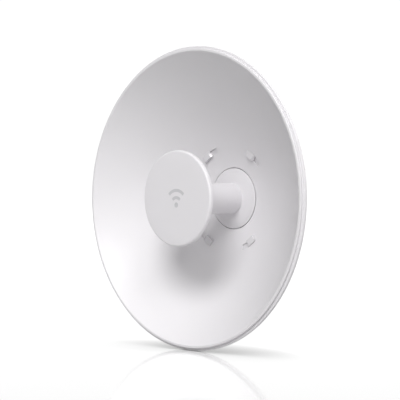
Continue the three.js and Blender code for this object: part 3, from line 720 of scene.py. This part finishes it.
def neck():
    """The neck with its domed base, moulded in one."""
    inner = NECK_RADIUS - NECK_WALL
    end = HEAD_BACK + 3.5
    skirt_inner, skirt_outer, skirt_end = 40, 42.6, 4.4
    corners = [
        (BASE_RADIUS, -0.5, 0.2),
        (37, -2.4, 14),
        (29, -3.9, 12),
        (NECK_RADIUS + 0.3, -NECK_RISE, 0.6),
        (NECK_RADIUS, -NECK_RISE - 0.8, 0.6),
        (NECK_RADIUS - 0.2, end, 0.4),
        (inner, end, 0.4),
        (inner, -2, 1),
        (29, -1.2, 3),
        (skirt_inner, 0.8, 1),
        (skirt_inner, skirt_end, 0.4),
        (skirt_outer, skirt_end, 0.4),
        (skirt_outer, 1.4, 0.2),
        (BASE_RADIUS, 1.4, 0.3),
    ]
    # The neck keeps the plain moulded white, darker than the cap's lighter copy: painted shade.
    made = lathe("feed_neck_tube", rounded(corners, 6), WHITE, 128)
    place(made, "antenna", "white_plastic", "feed_neck")


# ---- housing


def front_housing():
    """The shell behind the dish. Its latches are pieces of their own."""
    inner = HOUSING_RADIUS - WALL
    rim = dish_back(HOUSING_RADIUS) + GAP
    outline = [(r, dish_back(r) + GAP) for r in ramp(HUB_RADIUS + 0.4, HOUSING_RADIUS - 0.6, 14)]
    outline += [
        (HOUSING_RADIUS, rim + 0.5),
        (HOUSING_RADIUS, SPLIT_FRONT - 0.7),
        (HOUSING_RADIUS - 0.7, SPLIT_FRONT),
        (inner, SPLIT_FRONT),
    ]
    outline += [(r, dish_back(r) + GAP + WALL) for r in ramp(inner, HUB_RADIUS + WALL, 10)]
    outline += [(HUB_RADIUS + WALL, 10.4), (27, 10.4), (27, 8), (HUB_RADIUS + 0.4, 8)]
    place(lathe("front_housing", outline, WHITE), "antenna", "white_plastic", "front_shell")


def sector(name, spec, angle, offsets, front, back):
    """A curved block between two radii, over offsets in degrees from an angle. The y of its front
    and back are functions of the radius and the offset."""
    mesh = bmesh.new()
    radii = ramp(spec["inner"], spec["outer"], 4)
    layers = [
        [
            [mesh.verts.new([c * MM for c in about_hub(r, face(r, a), angle + a)]) for a in offsets]
            for r in radii
        ]
        for face in (front, back)
    ]
    one, two = layers
    rows, columns = len(radii) - 1, len(offsets) - 1
    for layer in layers:
        for i in range(rows):
            for j in range(columns):
                mesh.faces.new((layer[i][j], layer[i + 1][j], layer[i + 1][j + 1], layer[i][j + 1]))
    for i in range(rows):
        for j in (0, columns):
            mesh.faces.new((one[i][j], one[i + 1][j], two[i + 1][j], two[i][j]))
    for j in range(columns):
        for i in (0, rows):
            mesh.faces.new((one[i][j], one[i][j + 1], two[i][j + 1], two[i][j]))
    return to_object(name, mesh, SHADED_GLOSS)


def latches():
    """The housing's four hooks: flat on top, with a ramp that leads in, polished by the mould."""
    lead = 1.9
    edge = 0.3
    crest = dish_front((LATCH["inner"] + LATCH["outer"]) / 2) - LATCH["height"]
    rise = LATCH["height"] - LATCH["gap"] - edge

    def below(r, a):
        return dish_front(r) - LATCH["gap"]

    def top(r, a):
        return min(crest + rise * max(0, 1 - a / lead), below(r, a) - edge)

    def stem_front(r, a):
        return below(r, a) - 0.2

    def stem_back(r, a):
        return dish_back(r) + 1

    for i, angle in enumerate(LATCH_ANGLES, 1):
        hook = sector(f"latch_{i}", LATCH, angle, [0] + ramp(lead, LATCH["end"], 9), top, below)
        stem = sector("stem", STEM, angle, ramp(0.3, STEM["end"], 4), stem_front, stem_back)
        place(bevel(join(hook, stem), 0.35), "antenna", "white_plastic")


def rear_form(inset, start, name="form"):
    """The housing's form behind the split, shrunk by an inset."""
    corner = HOUSING_RADIUS - HOUSING_ROUND
    outline = [(0, start), (HOUSING_RADIUS - inset - 0.001, start)]
    outline += arc((corner, HOUSING_BACK - HOUSING_ROUND), HOUSING_ROUND - inset, 0, 90, 14)
    outline.append((0, HOUSING_BACK - inset))
    return lathe(name, outline, WHITE)


def rear_housing():
    shell = cut(rear_form(0, SPLIT_REAR, "rear_housing"), rear_form(WALL, SPLIT_REAR - 1))
    limit = HOUSING_RADIUS + 1
    depth = HOUSING_BACK + 1
    in_wall = 34  # a y within the back wall, where the bosses end and the pad starts
    outside = BAY_HALF_WIDTH + WALL
    bay_walls = block(
        "bay_walls",
        (-outside, row(SPLIT_REAR), -limit),
        (outside, row(HOUSING_BACK), BAY_CEILING + WALL),
    )
    join(shell, combine(bay_walls, "INTERSECT", rear_form(0.002, SPLIT_REAR)))
    ground = middle("ground_screw").xz
    join(shell, rod("pad", 6.6, row(in_wall), row(HOUSING_BACK + GROUND_RISE), "y", ground, count=64))
    for at in SHELL_SCREWS:
        join(shell, rod("boss", 4.6, row(SPLIT_REAR), row(in_wall), "y", at))
    jack_low, jack_high = low("ethernet_jack"), high("ethernet_jack")
    cutters = [
        block("bay", (-BAY_HALF_WIDTH, row(BAY_FRONT), -limit), (BAY_HALF_WIDTH, row(depth), BAY_CEILING)),
        block(
            "jack_hole",
            (jack_low.x - GAP, row(BAY_FRONT), BAY_CEILING - 1),
            (jack_high.x + GAP, jack_high.y + GAP, BAY_CEILING + WALL + 1),
        ),
        rod("button_hole", 2.3, BAY_CEILING - 1, BAY_CEILING + WALL + 1, "z", (18, row(27))),
    ]

    def hole(radius, start, at, count=32):
        """A cutter from a y of the hub frame out through the back."""
        return rod("hole", radius, row(start), row(depth), "y", at, count=count)

    for at, bracket in zip(SHELL_SCREWS, BRACKET_SCREWS):
        cutters += [hole(4, SHELL_SCREW_SEAT, at), hole(2.3, SPLIT_REAR - 1, at), hole(2.5, 25, bracket)]
    cutters += [hole(2.9, 28, ground), hole(3.5, 28, middle("vent_plug").xz)]
    cutters += [hole(1.25, 30, (LIGHT_X, z), 20) for z in ramp(-LIGHT_END, LIGHT_END, 5)]
    cut(shell, *cutters)
    shallow = HOUSING_BACK - 0.5
    ring_groove = [(63.4, shallow), (64.2, shallow), (64.2, depth), (63.4, depth)]
    cut(shell, lathe("groove", ring_groove, WHITE))
    place(bevel(shell, 0.35, 2, 50), "antenna", "white_plastic", "rear_shell")


def gasket():
    outline = [
        (HOUSING_RADIUS - WALL, SPLIT_FRONT + GAP),
        (HOUSING_RADIUS - 0.8, SPLIT_FRONT + GAP),
        (HOUSING_RADIUS - 0.6, (SPLIT_FRONT + SPLIT_REAR) / 2),
        (HOUSING_RADIUS - 0.8, SPLIT_REAR - GAP),
        (HOUSING_RADIUS - WALL, SPLIT_REAR - GAP),
    ]
    place(lathe("housing_gasket", outline, RUBBER), "antenna", "grey_rubber", "shell_gasket")


def cover():
    """The scoop over the port bay, with three grip grooves and a notch for the cable."""
    start = BAY_FRONT + COVER_PLAY
    limit = HOUSING_RADIUS + 1
    depth = row(HOUSING_BACK + 1)
    outside = BAY_HALF_WIDTH - COVER_PLAY
    inside = outside - COVER_WALL
    side = block(
        "side",
        (-outside, row(start), -limit),
        (outside, depth, BAY_CEILING - COVER_PLAY),
    )
    room = block(
        "room",
        (-inside, row(SPLIT_REAR - 1), -limit),
        (inside, row(HOUSING_BACK), BAY_CEILING + 1),
    )
    body = combine(rear_form(0, SPLIT_REAR, "bay_cover"), "INTERSECT", side)
    hollow = combine(rear_form(COVER_WALL, SPLIT_REAR), "INTERSECT", room)
    radius = 4.8
    notch = arc((0, row(CABLE_Y)), radius, 0, 180, 24)
    notch += [(-radius, row(start - 1)), (radius, row(start - 1))]
    cut(body, hollow, prism("notch", notch, -limit, -69, "z"))
    for i in range(3):
        groove = rectangle(14, 0.9, 0.85, (0, -61.7 - 3.6 * i))
        cut(body, prism("grip", groove, row(HOUSING_BACK - 0.9), depth, "y"))
    place(bevel(body, 0.4, 3, 45), "port_cover", "white_plastic", "port_cover")


def grommet():
    start = row(BAY_FRONT + COVER_PLAY)

    def outline(radius):
        return arc((0, row(CABLE_Y)), radius, 0, 180, 24) + [(-radius, start), (radius, start)]

    bottom, top = low("cable_grommet").z, high("cable_grommet").z
    body = prism("cable_bush", outline(4.5), bottom, top, "z", RUBBER)
    outer_lip = prism("lip", outline(6.2), bottom, bottom + 2, "z")
    inner_lip = prism("lip", outline(5.4), top - 1.6, top, "z")
    join(body, outer_lip, inner_lip)
    cut(body, rod("bore", 3.1, bottom - 1, top + 1, "z", (0, row(CABLE_Y))))
    place(bevel(body, 0.35), "port_cover", "grey_rubber", "cable_grommet")


def vent():
    """A breathable plug with a ring of small slots round its cap."""
    at = middle("vent_plug").xz
    base = HOUSING_BACK + GAP
    outline = rounded([(0, 32, 0), (3.1, 32, 0.4), (3.1, base, 0), (6.4, base, 0.3), (6.4, base + 1.6, 0.5)])
    outline += [(5.2, base + 2.3), (4.4, base + 2.7), (1.6, base + 2.7), (0, base + 2.4)]
    body = lathe("vent_cap", outline, BLACK, 64, at)
    for centre in arc(at, 3.3, 22.5, 337.5, 7):
        cut(body, rod("vent_slot", 0.55, row(base + 1.5), row(base + 4), "y", centre, count=16))
    place(body, "antenna", "black_plastic", "vent_plug")


# ---- fasteners


def pan_screw(name, node, seat, head_radius, head_height, shank):
    """A pan-head screw along +Y with a cross recess."""
    at = middle(node).xz
    top = seat + head_height
    tip = low(node).y - HUB_Y
    outline = [(0, tip), (shank - 0.6, tip), (shank, tip + 1), (shank, seat), (head_radius - 0.2, seat)]
    outline += [(head_radius, seat + 0.25), (head_radius, seat + 0.35 * head_height)]
    for degrees in (18, 36, 54, 70):
        a = math.radians(degrees)
        rise = head_height * (0.35 + 0.65 * math.sin(a))
        outline.append((head_radius * math.cos(a) ** 0.6, seat + rise))
    outline += [(head_radius * 0.3, top), (0, top)]
    body = lathe(name, outline, BOLT, 48, at)
    arm, half = head_radius * 0.58, head_radius * 0.13
    deep = top - head_height * 0.62
    for half_x, half_z in ((arm, half), (half, arm)):
        cross = rectangle(half_x, half_z, half * 0.6, at, 3)
        cut(body, prism("cross", cross, row(deep), row(top + 1), "y"))
    place(body, "antenna", "zinc_steel", node)


def screws():
    seat = HOUSING_BACK + STEEL + 2 * GAP
    for i in range(1, 5):
        pan_screw(f"housing_screw_{i}", f"shell_screw_{i}", SHELL_SCREW_SEAT + GAP, 3.5, 2.4, 1.6)
        pan_screw(f"bracket_fixing_{i}", f"bracket_screw_{i}", seat, 4.4, 3, 2.1)
    seat = HOUSING_BACK + GROUND_RISE + GROUND_LUG
    pan_screw("ground_terminal", "ground_screw", seat, 4.6, 3.2, 2.4)


def hexagon(name, corner, start, end, axis, centre, material=BOLT):
    """A hexagonal prism, with its outer corners chamfered as on a real head or nut."""
    made = prism(name, circle(corner, centre, 6), start, end, axis, material)
    height = end - start
    envelope = (
        (corner * 0.86, start),
        (corner + 0.01, start + 0.09 * height),
        (corner + 0.01, end - 0.14 * height),
        (corner * 0.86, end),
    )
    rings = [[ALONG[axis](u, v, w) for u, v in circle(r, centre, 48)] for r, w in envelope]
    return combine(made, "INTERSECT", loft("chamfer", rings, material))


def threaded(name, radius, pitch, start, end, axis, centre, material):
    """A rod with a helical thread, tapered at its end."""
    depth = 0.54 * pitch
    steps = max(8, int((end - start) / pitch * 8))
    around = 32
    rings = []
    for w in ramp(start, end, steps):
        taper = min(1.0, (end - w) / pitch)
        ring = []
        for i in range(around):
            phase = (w / pitch - i / around) % 1.0
            wave = abs(2 * phase - 1)
            r = (radius - depth * (1 - min(1.0, 1.25 * wave))) - (1 - taper) * depth
            a = TURN * i / around
            ring.append(ALONG[axis](centre[0] + r * math.cos(a), centre[1] + r * math.sin(a), w))
        rings.append(ring)
    return loft(name, rings, material, 60)


def tilt_bolts():
    """The pivot and lock bolts, each with a flange nut."""
    for name, y in (("pivot", PIVOT_Y), ("lock", LOCK_Y)):
        at = (y, 0)
        bolt, nut = f"{name}_bolt", f"{name}_nut"
        seat = -high("tilt_bracket").x - GAP
        head = hexagon("head", BOLT_CORNER, low(bolt).x, seat, "x", at)
        shank = threaded("thread", BOLT_RADIUS, 1.0, seat - 0.5, high(bolt).x, "x", at, BOLT)
        place(gather(f"{name}_screw", (head, shank), BOLT, 40), "pole_mount", "zinc_steel", bolt)
        start, end = low(nut).x, high(nut).x
        body = hexagon(f"{name}_flange_nut", BOLT_CORNER, start + 0.8, end, "x", at)
        join(body, rod("flange", 7.1, start, start + 1.3, "x", at, count=48))
        cut(body, rod("bore", 3.2, start - 1, end + 1, "x", at))
        place(bevel(body, 0.25), "pole_mount", "zinc_steel", nut)


# ---- brackets


def channel(name, half_width, web, tip, half_height):
    """A bent sheet channel seen from above: a web, and two side walls that reach to the tip."""
    inner, outer = half_width - STEEL, half_width
    within = web + math.copysign(STEEL, tip - web)
    bend = 2.4
    corners = [
        (-outer, web, bend + STEEL * 0.4),
        (outer, web, bend + STEEL * 0.4),
        (outer, tip, 0),
        (inner, tip, 0),
        (inner, within, bend * 0.8),
        (-inner, within, bend * 0.8),
        (-inner, tip, 0),
        (-outer, tip, 0),
    ]
    return prism(name, rounded(corners), -half_height, half_height, "z", ZINC)


def tilt_plate():
    """The bracket on the housing: a bent channel whose ears carry the pivot and the arc slots."""
    base, tip = low("tilt_bracket").y, high("tilt_bracket").y
    outer, half = high("tilt_bracket").x, high("tilt_bracket").z
    nose = tip - PIVOT_Y
    side = [(base, -half, 1.5), (PIVOT_Y - 17, -half, 4), (PIVOT_Y - 1, -nose, 5), (tip, -nose, nose)]
    side += [(y, -z, r) for y, z, r in reversed(side)]
    body = channel("tilt_channel", outer, base, tip, half)
    combine(body, "INTERSECT", prism("side", rounded(side, 8), -outer - 1, outer + 1, "x"))
    swing = 21.5
    pivot = (PIVOT_Y, 0)
    end_high, end_low = arc(pivot, LOCK_RADIUS, 180 - swing, 180 + swing, 1)
    slot = arc(pivot, LOCK_RADIUS + BOLT_HOLE, 180 - swing, 180 + swing, 16)
    slot += arc(end_low, BOLT_HOLE, 180 + swing, 360 + swing, 10)[1:-1]
    slot += arc(pivot, LOCK_RADIUS - BOLT_HOLE, 180 + swing, 180 - swing, 16)
    slot += arc(end_high, BOLT_HOLE, -swing, 180 - swing, 10)[1:-1]
    cut(
        body,
        prism("slot", slot, -outer - 1, outer + 1, "x"),
        rod("pivot_hole", BOLT_HOLE, -outer - 1, outer + 1, "x", pivot),
        rod("centre_hole", 8, base - 1, base + STEEL + 1, "y", (0, 0)),
    )
    for at in BRACKET_SCREWS:
        cut(body, rod("hole", 2.9, base - 1, base + STEEL + 1, "y", at))
    place(bevel(body, 0.35), "antenna", "zinc_steel", "tilt_bracket")


def flange_outline():
    """A toothed V notch that seats on the pole."""
    slope = math.tan(math.radians(30))
    point = POLE_RADIUS / math.cos(math.radians(30))
    notch, pitch, deep = 30, 2.5, 1.1
    top = slope * notch - point
    side = [(notch + 7, PLATE_BACK), (notch + 4, top), (notch, top)]
    x = notch
    while x - pitch > 3:
        side.append((x - pitch / 2, slope * (x - pitch / 2) - point - deep))
        x -= pitch
        side.append((x, slope * x - point))
    side.append((0.6, -point - 0.3))
    return side + [(-x, y) for x, y in reversed(side)]


def pole_plate():
    """The bracket on the pole: a plate, two ears for the bolts and two toothed flanges."""
    half_x, half_z = high("pole_bracket").x, high("pole_bracket").z
    front = PLATE_BACK - STEEL
    ear_x, ear_z, ear_round = 20, 24, 6.5
    tip = low("pole_bracket").y
    side = [(front + 1, ear_z, 0), (front - 8, ear_z, 5), (LOCK_Y, ear_round, 4), (tip, ear_round, ear_round)]
    side += [(y, -z, r) for y, z, r in reversed(side)]
    ears = channel("ears", ear_x, front + 1.5, tip - 1, ear_z + 1)
    combine(ears, "INTERSECT", prism("side", rounded(side, 8), -ear_x - 1, ear_x + 1, "x"))
    body = prism("pole_plate", rectangle(half_x, half_z, 5, count=8), front, PLATE_BACK, "y", ZINC)
    teeth = flange_outline()
    join(body, ears, prism("flange", teeth, 27, 30, "z"), prism("flange", teeth, -30, -27, "z"))
    for y in (PIVOT_Y, LOCK_Y):
        cut(body, rod("hole", BOLT_HOLE, -ear_x - 1, ear_x + 1, "x", (y, 0)))
    for x, z in QUADRANTS:
        slot = rectangle(1.4, 7.2, 1.2, (BAND_X * x, BAND_Z * z), 4)
        cut(body, prism("slot", slot, front - 1, PLATE_BACK + 1, "y"))
    place(bevel(body, 0.35), "pole_mount", "zinc_steel", "pole_bracket")


# ---- bands


def band_route():
    """The band's middle line as (x, y): across the plate's front, back through it, round the pole."""
    reach = math.hypot(BAND_X, BAND_FRONT)
    touch = math.degrees(math.atan2(BAND_FRONT, BAND_X) + math.acos(BAND_RADIUS / reach))
    pole = [(x, y, 0) for x, y in arc((0, 0), BAND_RADIUS, touch, 180 - touch, 72)]
    corners = [(BAND_X, BAND_FRONT, 1.6), *pole, (-BAND_X, BAND_FRONT, 1.6)]
    coarse = [Vector(p) for p in rounded(corners)]
    even = []
    for a, b in zip(coarse, coarse[1:] + coarse[:1]):
        pieces = max(1, round((b - a).length / 1.2))
        even += [a.lerp(b, i / pieces) for i in range(pieces)]
    return even


def band(side, z):
    """A worm-drive band: a thin strip with slanted slots along the part that the screw pulls."""
    route = band_route()
    rows = (-BAND_WIDTH / 2, -3.6, -1.2, 1.2, 3.6, BAND_WIDTH / 2)
    count = len(route)
    mesh = bmesh.new()
    grid = []
    for i, p in enumerate(route):
        ahead = (route[(i + 1) % count] - route[i - 1]).normalized()
        slant = 0.12 if p.y > 4 else 0
        grid.append([])
        for v in rows:
            q = p + ahead * (slant * v)
            grid[-1].append(mesh.verts.new((q.x * MM, q.y * MM, (z + v) * MM)))
    for i in range(count):
        j = (i + 1) % count
        for k in range(len(rows) - 1):
            slotted = 0 < k < len(rows) - 2 and route[i].y > 6 and i % 3 == 0
            if not slotted:
                mesh.faces.new((grid[i][k], grid[j][k], grid[j][k + 1], grid[i][k + 1]))
    made = to_object(f"band_{side}", mesh, BAND, 40)
    thick = made.modifiers.new("thickness", "SOLIDIFY")
    thick.thickness = BAND_THICKNESS * MM
    thick.offset = 0
    place(finished(made, 40), "pole_mount", "zinc_steel", f"clamp_band_{side}")


def to_bearing(made, z):
    turn = Matrix.Rotation(math.radians(WORM_BEARING), 4, "Z")
    made.data.transform(Matrix.Translation((0, 0, z * MM)) @ turn)
    return made


def tunnel(side, z):
    """The arched housing that holds the screw over the band."""
    inside = BAND_RADIUS + BAND_THICKNESS / 2 + 0.35
    half = 7.4
    arch = [
        (inside, -half, 0.5),
        (inside + 2.2, -half, 0.8),
        (inside + 2.6, -half + 1.6, 1),
        (inside + 9.6, -half + 1.6, 5.2),
    ]
    arch += [(x, -w, r) for x, w, r in reversed(arch)]
    body = prism(f"screw_tunnel_{side}", rounded(arch, 8), -7.5, 7.5, "y", BAND, 40)
    cut(body, rod("bore", 3.6, -9, 9, "y", (WORM_X, 0), count=40))
    made = finished(bevel(body, 0.4, 2, 45))
    place(to_bearing(made, z), "pole_mount", "zinc_steel", f"band_tunnel_{side}")


def band_screw(side, z):
    """The worm screw: a threaded shank, a collar and a slotted hexagon head."""
    at = (WORM_X, 0)
    thread = threaded("thread", 3.1, 1.6, -9.5, 8.4, "y", at, BAND)
    collar = rod("collar", 4.3, 8.6, 9.4, "y", at, count=40)
    head = hexagon("head", 4.1, 9.3, 14.6, "y", at)
    cut(head, block("slot", (WORM_X - 0.6, 12.6, -6), (WORM_X + 0.6, 16, 6)))
    made = gather(f"worm_screw_{side}", (thread, collar, head), BAND, 40)
    place(to_bearing(made, z), f"{side}_screw", "zinc_steel", f"band_screw_{side}")


# ---- ports and inner pieces


def network_jack():
    """The shielded socket: a tin shell with a mouth, a latch groove and eight contacts."""
    lo, hi = low("ethernet_jack"), high("ethernet_jack")
    body = block("network_jack", lo, hi, TIN)
    under = lo.z - 1
    depth = lo.z + 14
    nose_front = row(BAY_FRONT + 0.4)
    mouth_front = nose_front + 0.5
    mouth_back = mouth_front + 6.9
    cut(
        body,
        block("step", (lo.x - 1, lo.y - 1, under), (hi.x + 1, nose_front, lo.z + 4.2)),
        block("mouth", (-5.85, mouth_front, under), (5.85, mouth_back, depth)),
        block("groove", (-3, mouth_back - 1, under), (3, mouth_back + 1.1, depth)),
    )
    place(bevel(body, 0.25), "antenna", "tin_plate", "ethernet_jack")
    strip = rounded([
        (mouth_front + 0.05, lo.z + 2, 0),
        (mouth_front + 0.35, lo.z + 2, 0.1),
        (mouth_front + 2.6, depth - 0.4, 0.1),
        (mouth_front + 2.2, depth - 0.4, 0),
    ], 3)
    contacts = []
    for i in range(8):
        x = (i - 3.5) * 1.02
        contacts.append(prism("contact", strip, x - 0.22, x + 0.22, "x"))
    place(gather("jack_contacts", contacts, GOLD), "antenna", "tin_plate")


def button():
    bottom, top = low("reset_button").z, high("reset_button").z
    centre = middle("reset_button").xy
    body = rod("reset_plunger", 2, bottom, top, "z", centre, BLACK, 40)
    join(body, rod("collar", 3.1, BAY_CEILING + WALL + GAP, top, "z", centre, count=40))
    place(bevel(body, 0.3), "reset_button", "black_plastic", "reset_button")


def lights():
    """The light pipe: a bar behind the wall, and six domed ends in the housing's back."""
    lo, hi = low("light_pipe"), high("light_pipe")
    inner = HOUSING_BACK - WALL - GAP
    body = block("light_guide", (lo.x, row(inner) - 2.4, lo.z), (hi.x, row(inner), hi.z), CLEAR)
    outline = [(0, inner - 1), (1.1, inner - 1), (1.1, HOUSING_BACK - 0.25)]
    outline += [(0.8, HOUSING_BACK + 0.02), (0.4, HOUSING_BACK + 0.15), (0, HOUSING_BACK + 0.2)]
    for z in ramp(-LIGHT_END, LIGHT_END, 5):
        join(body, lathe("end", outline, CLEAR, 24, (LIGHT_X, z)))
    place(body, "antenna", "clear_plastic", "light_pipe")


INNER = {
    ALUMINIUM: ("subreflector", *(f"radiator_standoff_{i}" for i in (1, 2, 3)), "heat_spreader"),
    CIRCUIT: ("radiator_board", "feed_board", "main_board"),
    TIN: ("feed_shield", "radio_shield", "processor_shield"),
    RUBBER: ("neck_seal",),
    BLACK: ("feed_connector", "reset_switch"),
    THERMAL: ("thermal_pad",),
}


def inner_pieces():
    """Pieces inside the shells keep their CAD shape and take a finish."""
    for material, names in INNER.items():
        for name in names:
            data = nodes[name].data
            data.materials.clear()
            data.materials.append(material)


# ---- stage, light and camera

# Name: azimuth, elevation, strength, spread
LIGHTS = {
    "key": (30, 40, 1.76, 28),
    "side": (70, 40, 0.80, 28),
    "overhead": (20, 60, 0.65, 90),
    "rear": (165, 32, 1.3, 80),
}
SKY = {"Is Camera Ray": 1.05, "Is Glossy Ray": 0.7, "Is Diffuse Ray": 0.06, "Is Transmission Ray": 0.3}
FLOOR_GREY, SEEN_GREY = 0.55, 0.1
FLOOR_GLOW = 0.61
CONTACT_SHADOW_REACH, CONTACT_SHADOW_FALLOFF = 0.085, 1.5
CAMERA = {"azimuth": 44.2, "distance": 1.994, "lens": 125.95, "left": 0.0478, "below": 0.0023}


def floor():
    """A pale, slightly glossy floor. For the camera it is darker and glows, less so near the object, where
    the dimmed glow is a painted contact shadow.
    """
    reach = 30
    mesh = bmesh.new()
    corners = ((-reach, -reach), (reach, -reach), (reach, reach), (-reach, reach))
    mesh.faces.new([mesh.verts.new((x, y, cad_low.z)) for x, y in corners])
    s = Shader("pale_floor", (FLOOR_GREY, FLOOR_GREY, FLOOR_GREY), 0.06)
    s.set("Emission Color", (1, 1, 1, 1))
    seen = s.node("LightPath").outputs["Is Camera Ray"]
    # Ambient occlusion dims the glow near the object: a painted contact shadow.
    openness = s.node("AmbientOcclusion", Distance=CONTACT_SHADOW_REACH).outputs["AO"]
    shade = s.calculate("POWER", openness, CONTACT_SHADOW_FALLOFF)
    glow = s.calculate("MULTIPLY", s.spread(shade, 0, FLOOR_GLOW, (0, 1)), seen)
    s.link(s.spread(seen, FLOOR_GREY, SEEN_GREY, (0, 1)), s.bsdf.inputs["Base Color"])
    s.link(glow, s.bsdf.inputs["Emission Strength"])
    to_object("floor", mesh, s.material)


def sun(name, azimuth, elevation, strength, spread):
    """A soft sun seen in a direction, with its angular size in degrees. Azimuth 0 is at -Y, 90 at +X."""
    a, e = math.radians(azimuth), math.radians(elevation)
    direction = Vector((math.sin(a) * math.cos(e), -math.cos(a) * math.cos(e), math.sin(e)))
    data = bpy.data.lights.new(name, "SUN")
    data.energy = strength
    data.angle = math.radians(spread)
    made = bpy.data.objects.new(name, data)
    made.rotation_mode = "QUATERNION"
    made.rotation_quaternion = direction.to_track_quat("Z", "Y")
    bpy.context.scene.collection.objects.link(made)


def sky():
    """Even white surroundings, each kind of ray with its own brightness."""
    world = bpy.data.worlds.new("studio")
    bpy.context.scene.world = world
    world.use_nodes = True
    tree = world.node_tree
    back = tree.nodes["Background"]
    back.inputs["Color"].default_value = (1, 1, 1, 1)
    path = tree.nodes.new("ShaderNodeLightPath")
    level = None
    for ray, strength in SKY.items():
        part = tree.nodes.new("ShaderNodeMath")
        part.operation = "MULTIPLY_ADD"
        part.inputs[1].default_value = strength
        part.inputs[2].default_value = 0
        tree.links.new(path.outputs[ray], part.inputs[0])
        if level:
            tree.links.new(level, part.inputs[2])
        level = part.outputs[0]
    tree.links.new(level, back.inputs["Strength"])


def camera():
    """Level with the dish's centre, in front and to the right of it."""
    a = math.radians(CAMERA["azimuth"])
    hub = Vector((0, HUB_Y * MM, 0))
    out = Vector((math.sin(a), -math.cos(a), 0))
    right = Vector((math.cos(a), math.sin(a), 0))
    here = hub + out * CAMERA["distance"]
    target = hub - right * CAMERA["left"] - Vector((0, 0, CAMERA["below"]))
    data = bpy.data.cameras.new("camera")
    data.lens = CAMERA["lens"]
    data.sensor_width = 36
    made = bpy.data.objects.new("camera", data)
    made.location = here
    made.rotation_mode = "QUATERNION"
    made.rotation_quaternion = (target - here).to_track_quat("-Z", "Y")
    bpy.context.scene.collection.objects.link(made)
    bpy.context.scene.camera = made
    bpy.context.scene.view_settings.view_transform = "Standard"


camera()
floor()
sky()
for name, light in LIGHTS.items():
    sun(name, *light)

dish()
cap()
cap_mark()
backshell()
neck()
front_housing()
latches()
rear_housing()
gasket()
cover()
grommet()
vent()
screws()
tilt_bolts()
tilt_plate()
pole_plate()
for side, z in (("upper", BAND_Z), ("lower", -BAND_Z)):
    band(side, z)
    tunnel(side, z)
    band_screw(side, z)
network_jack()
button()
lights()
inner_pieces()
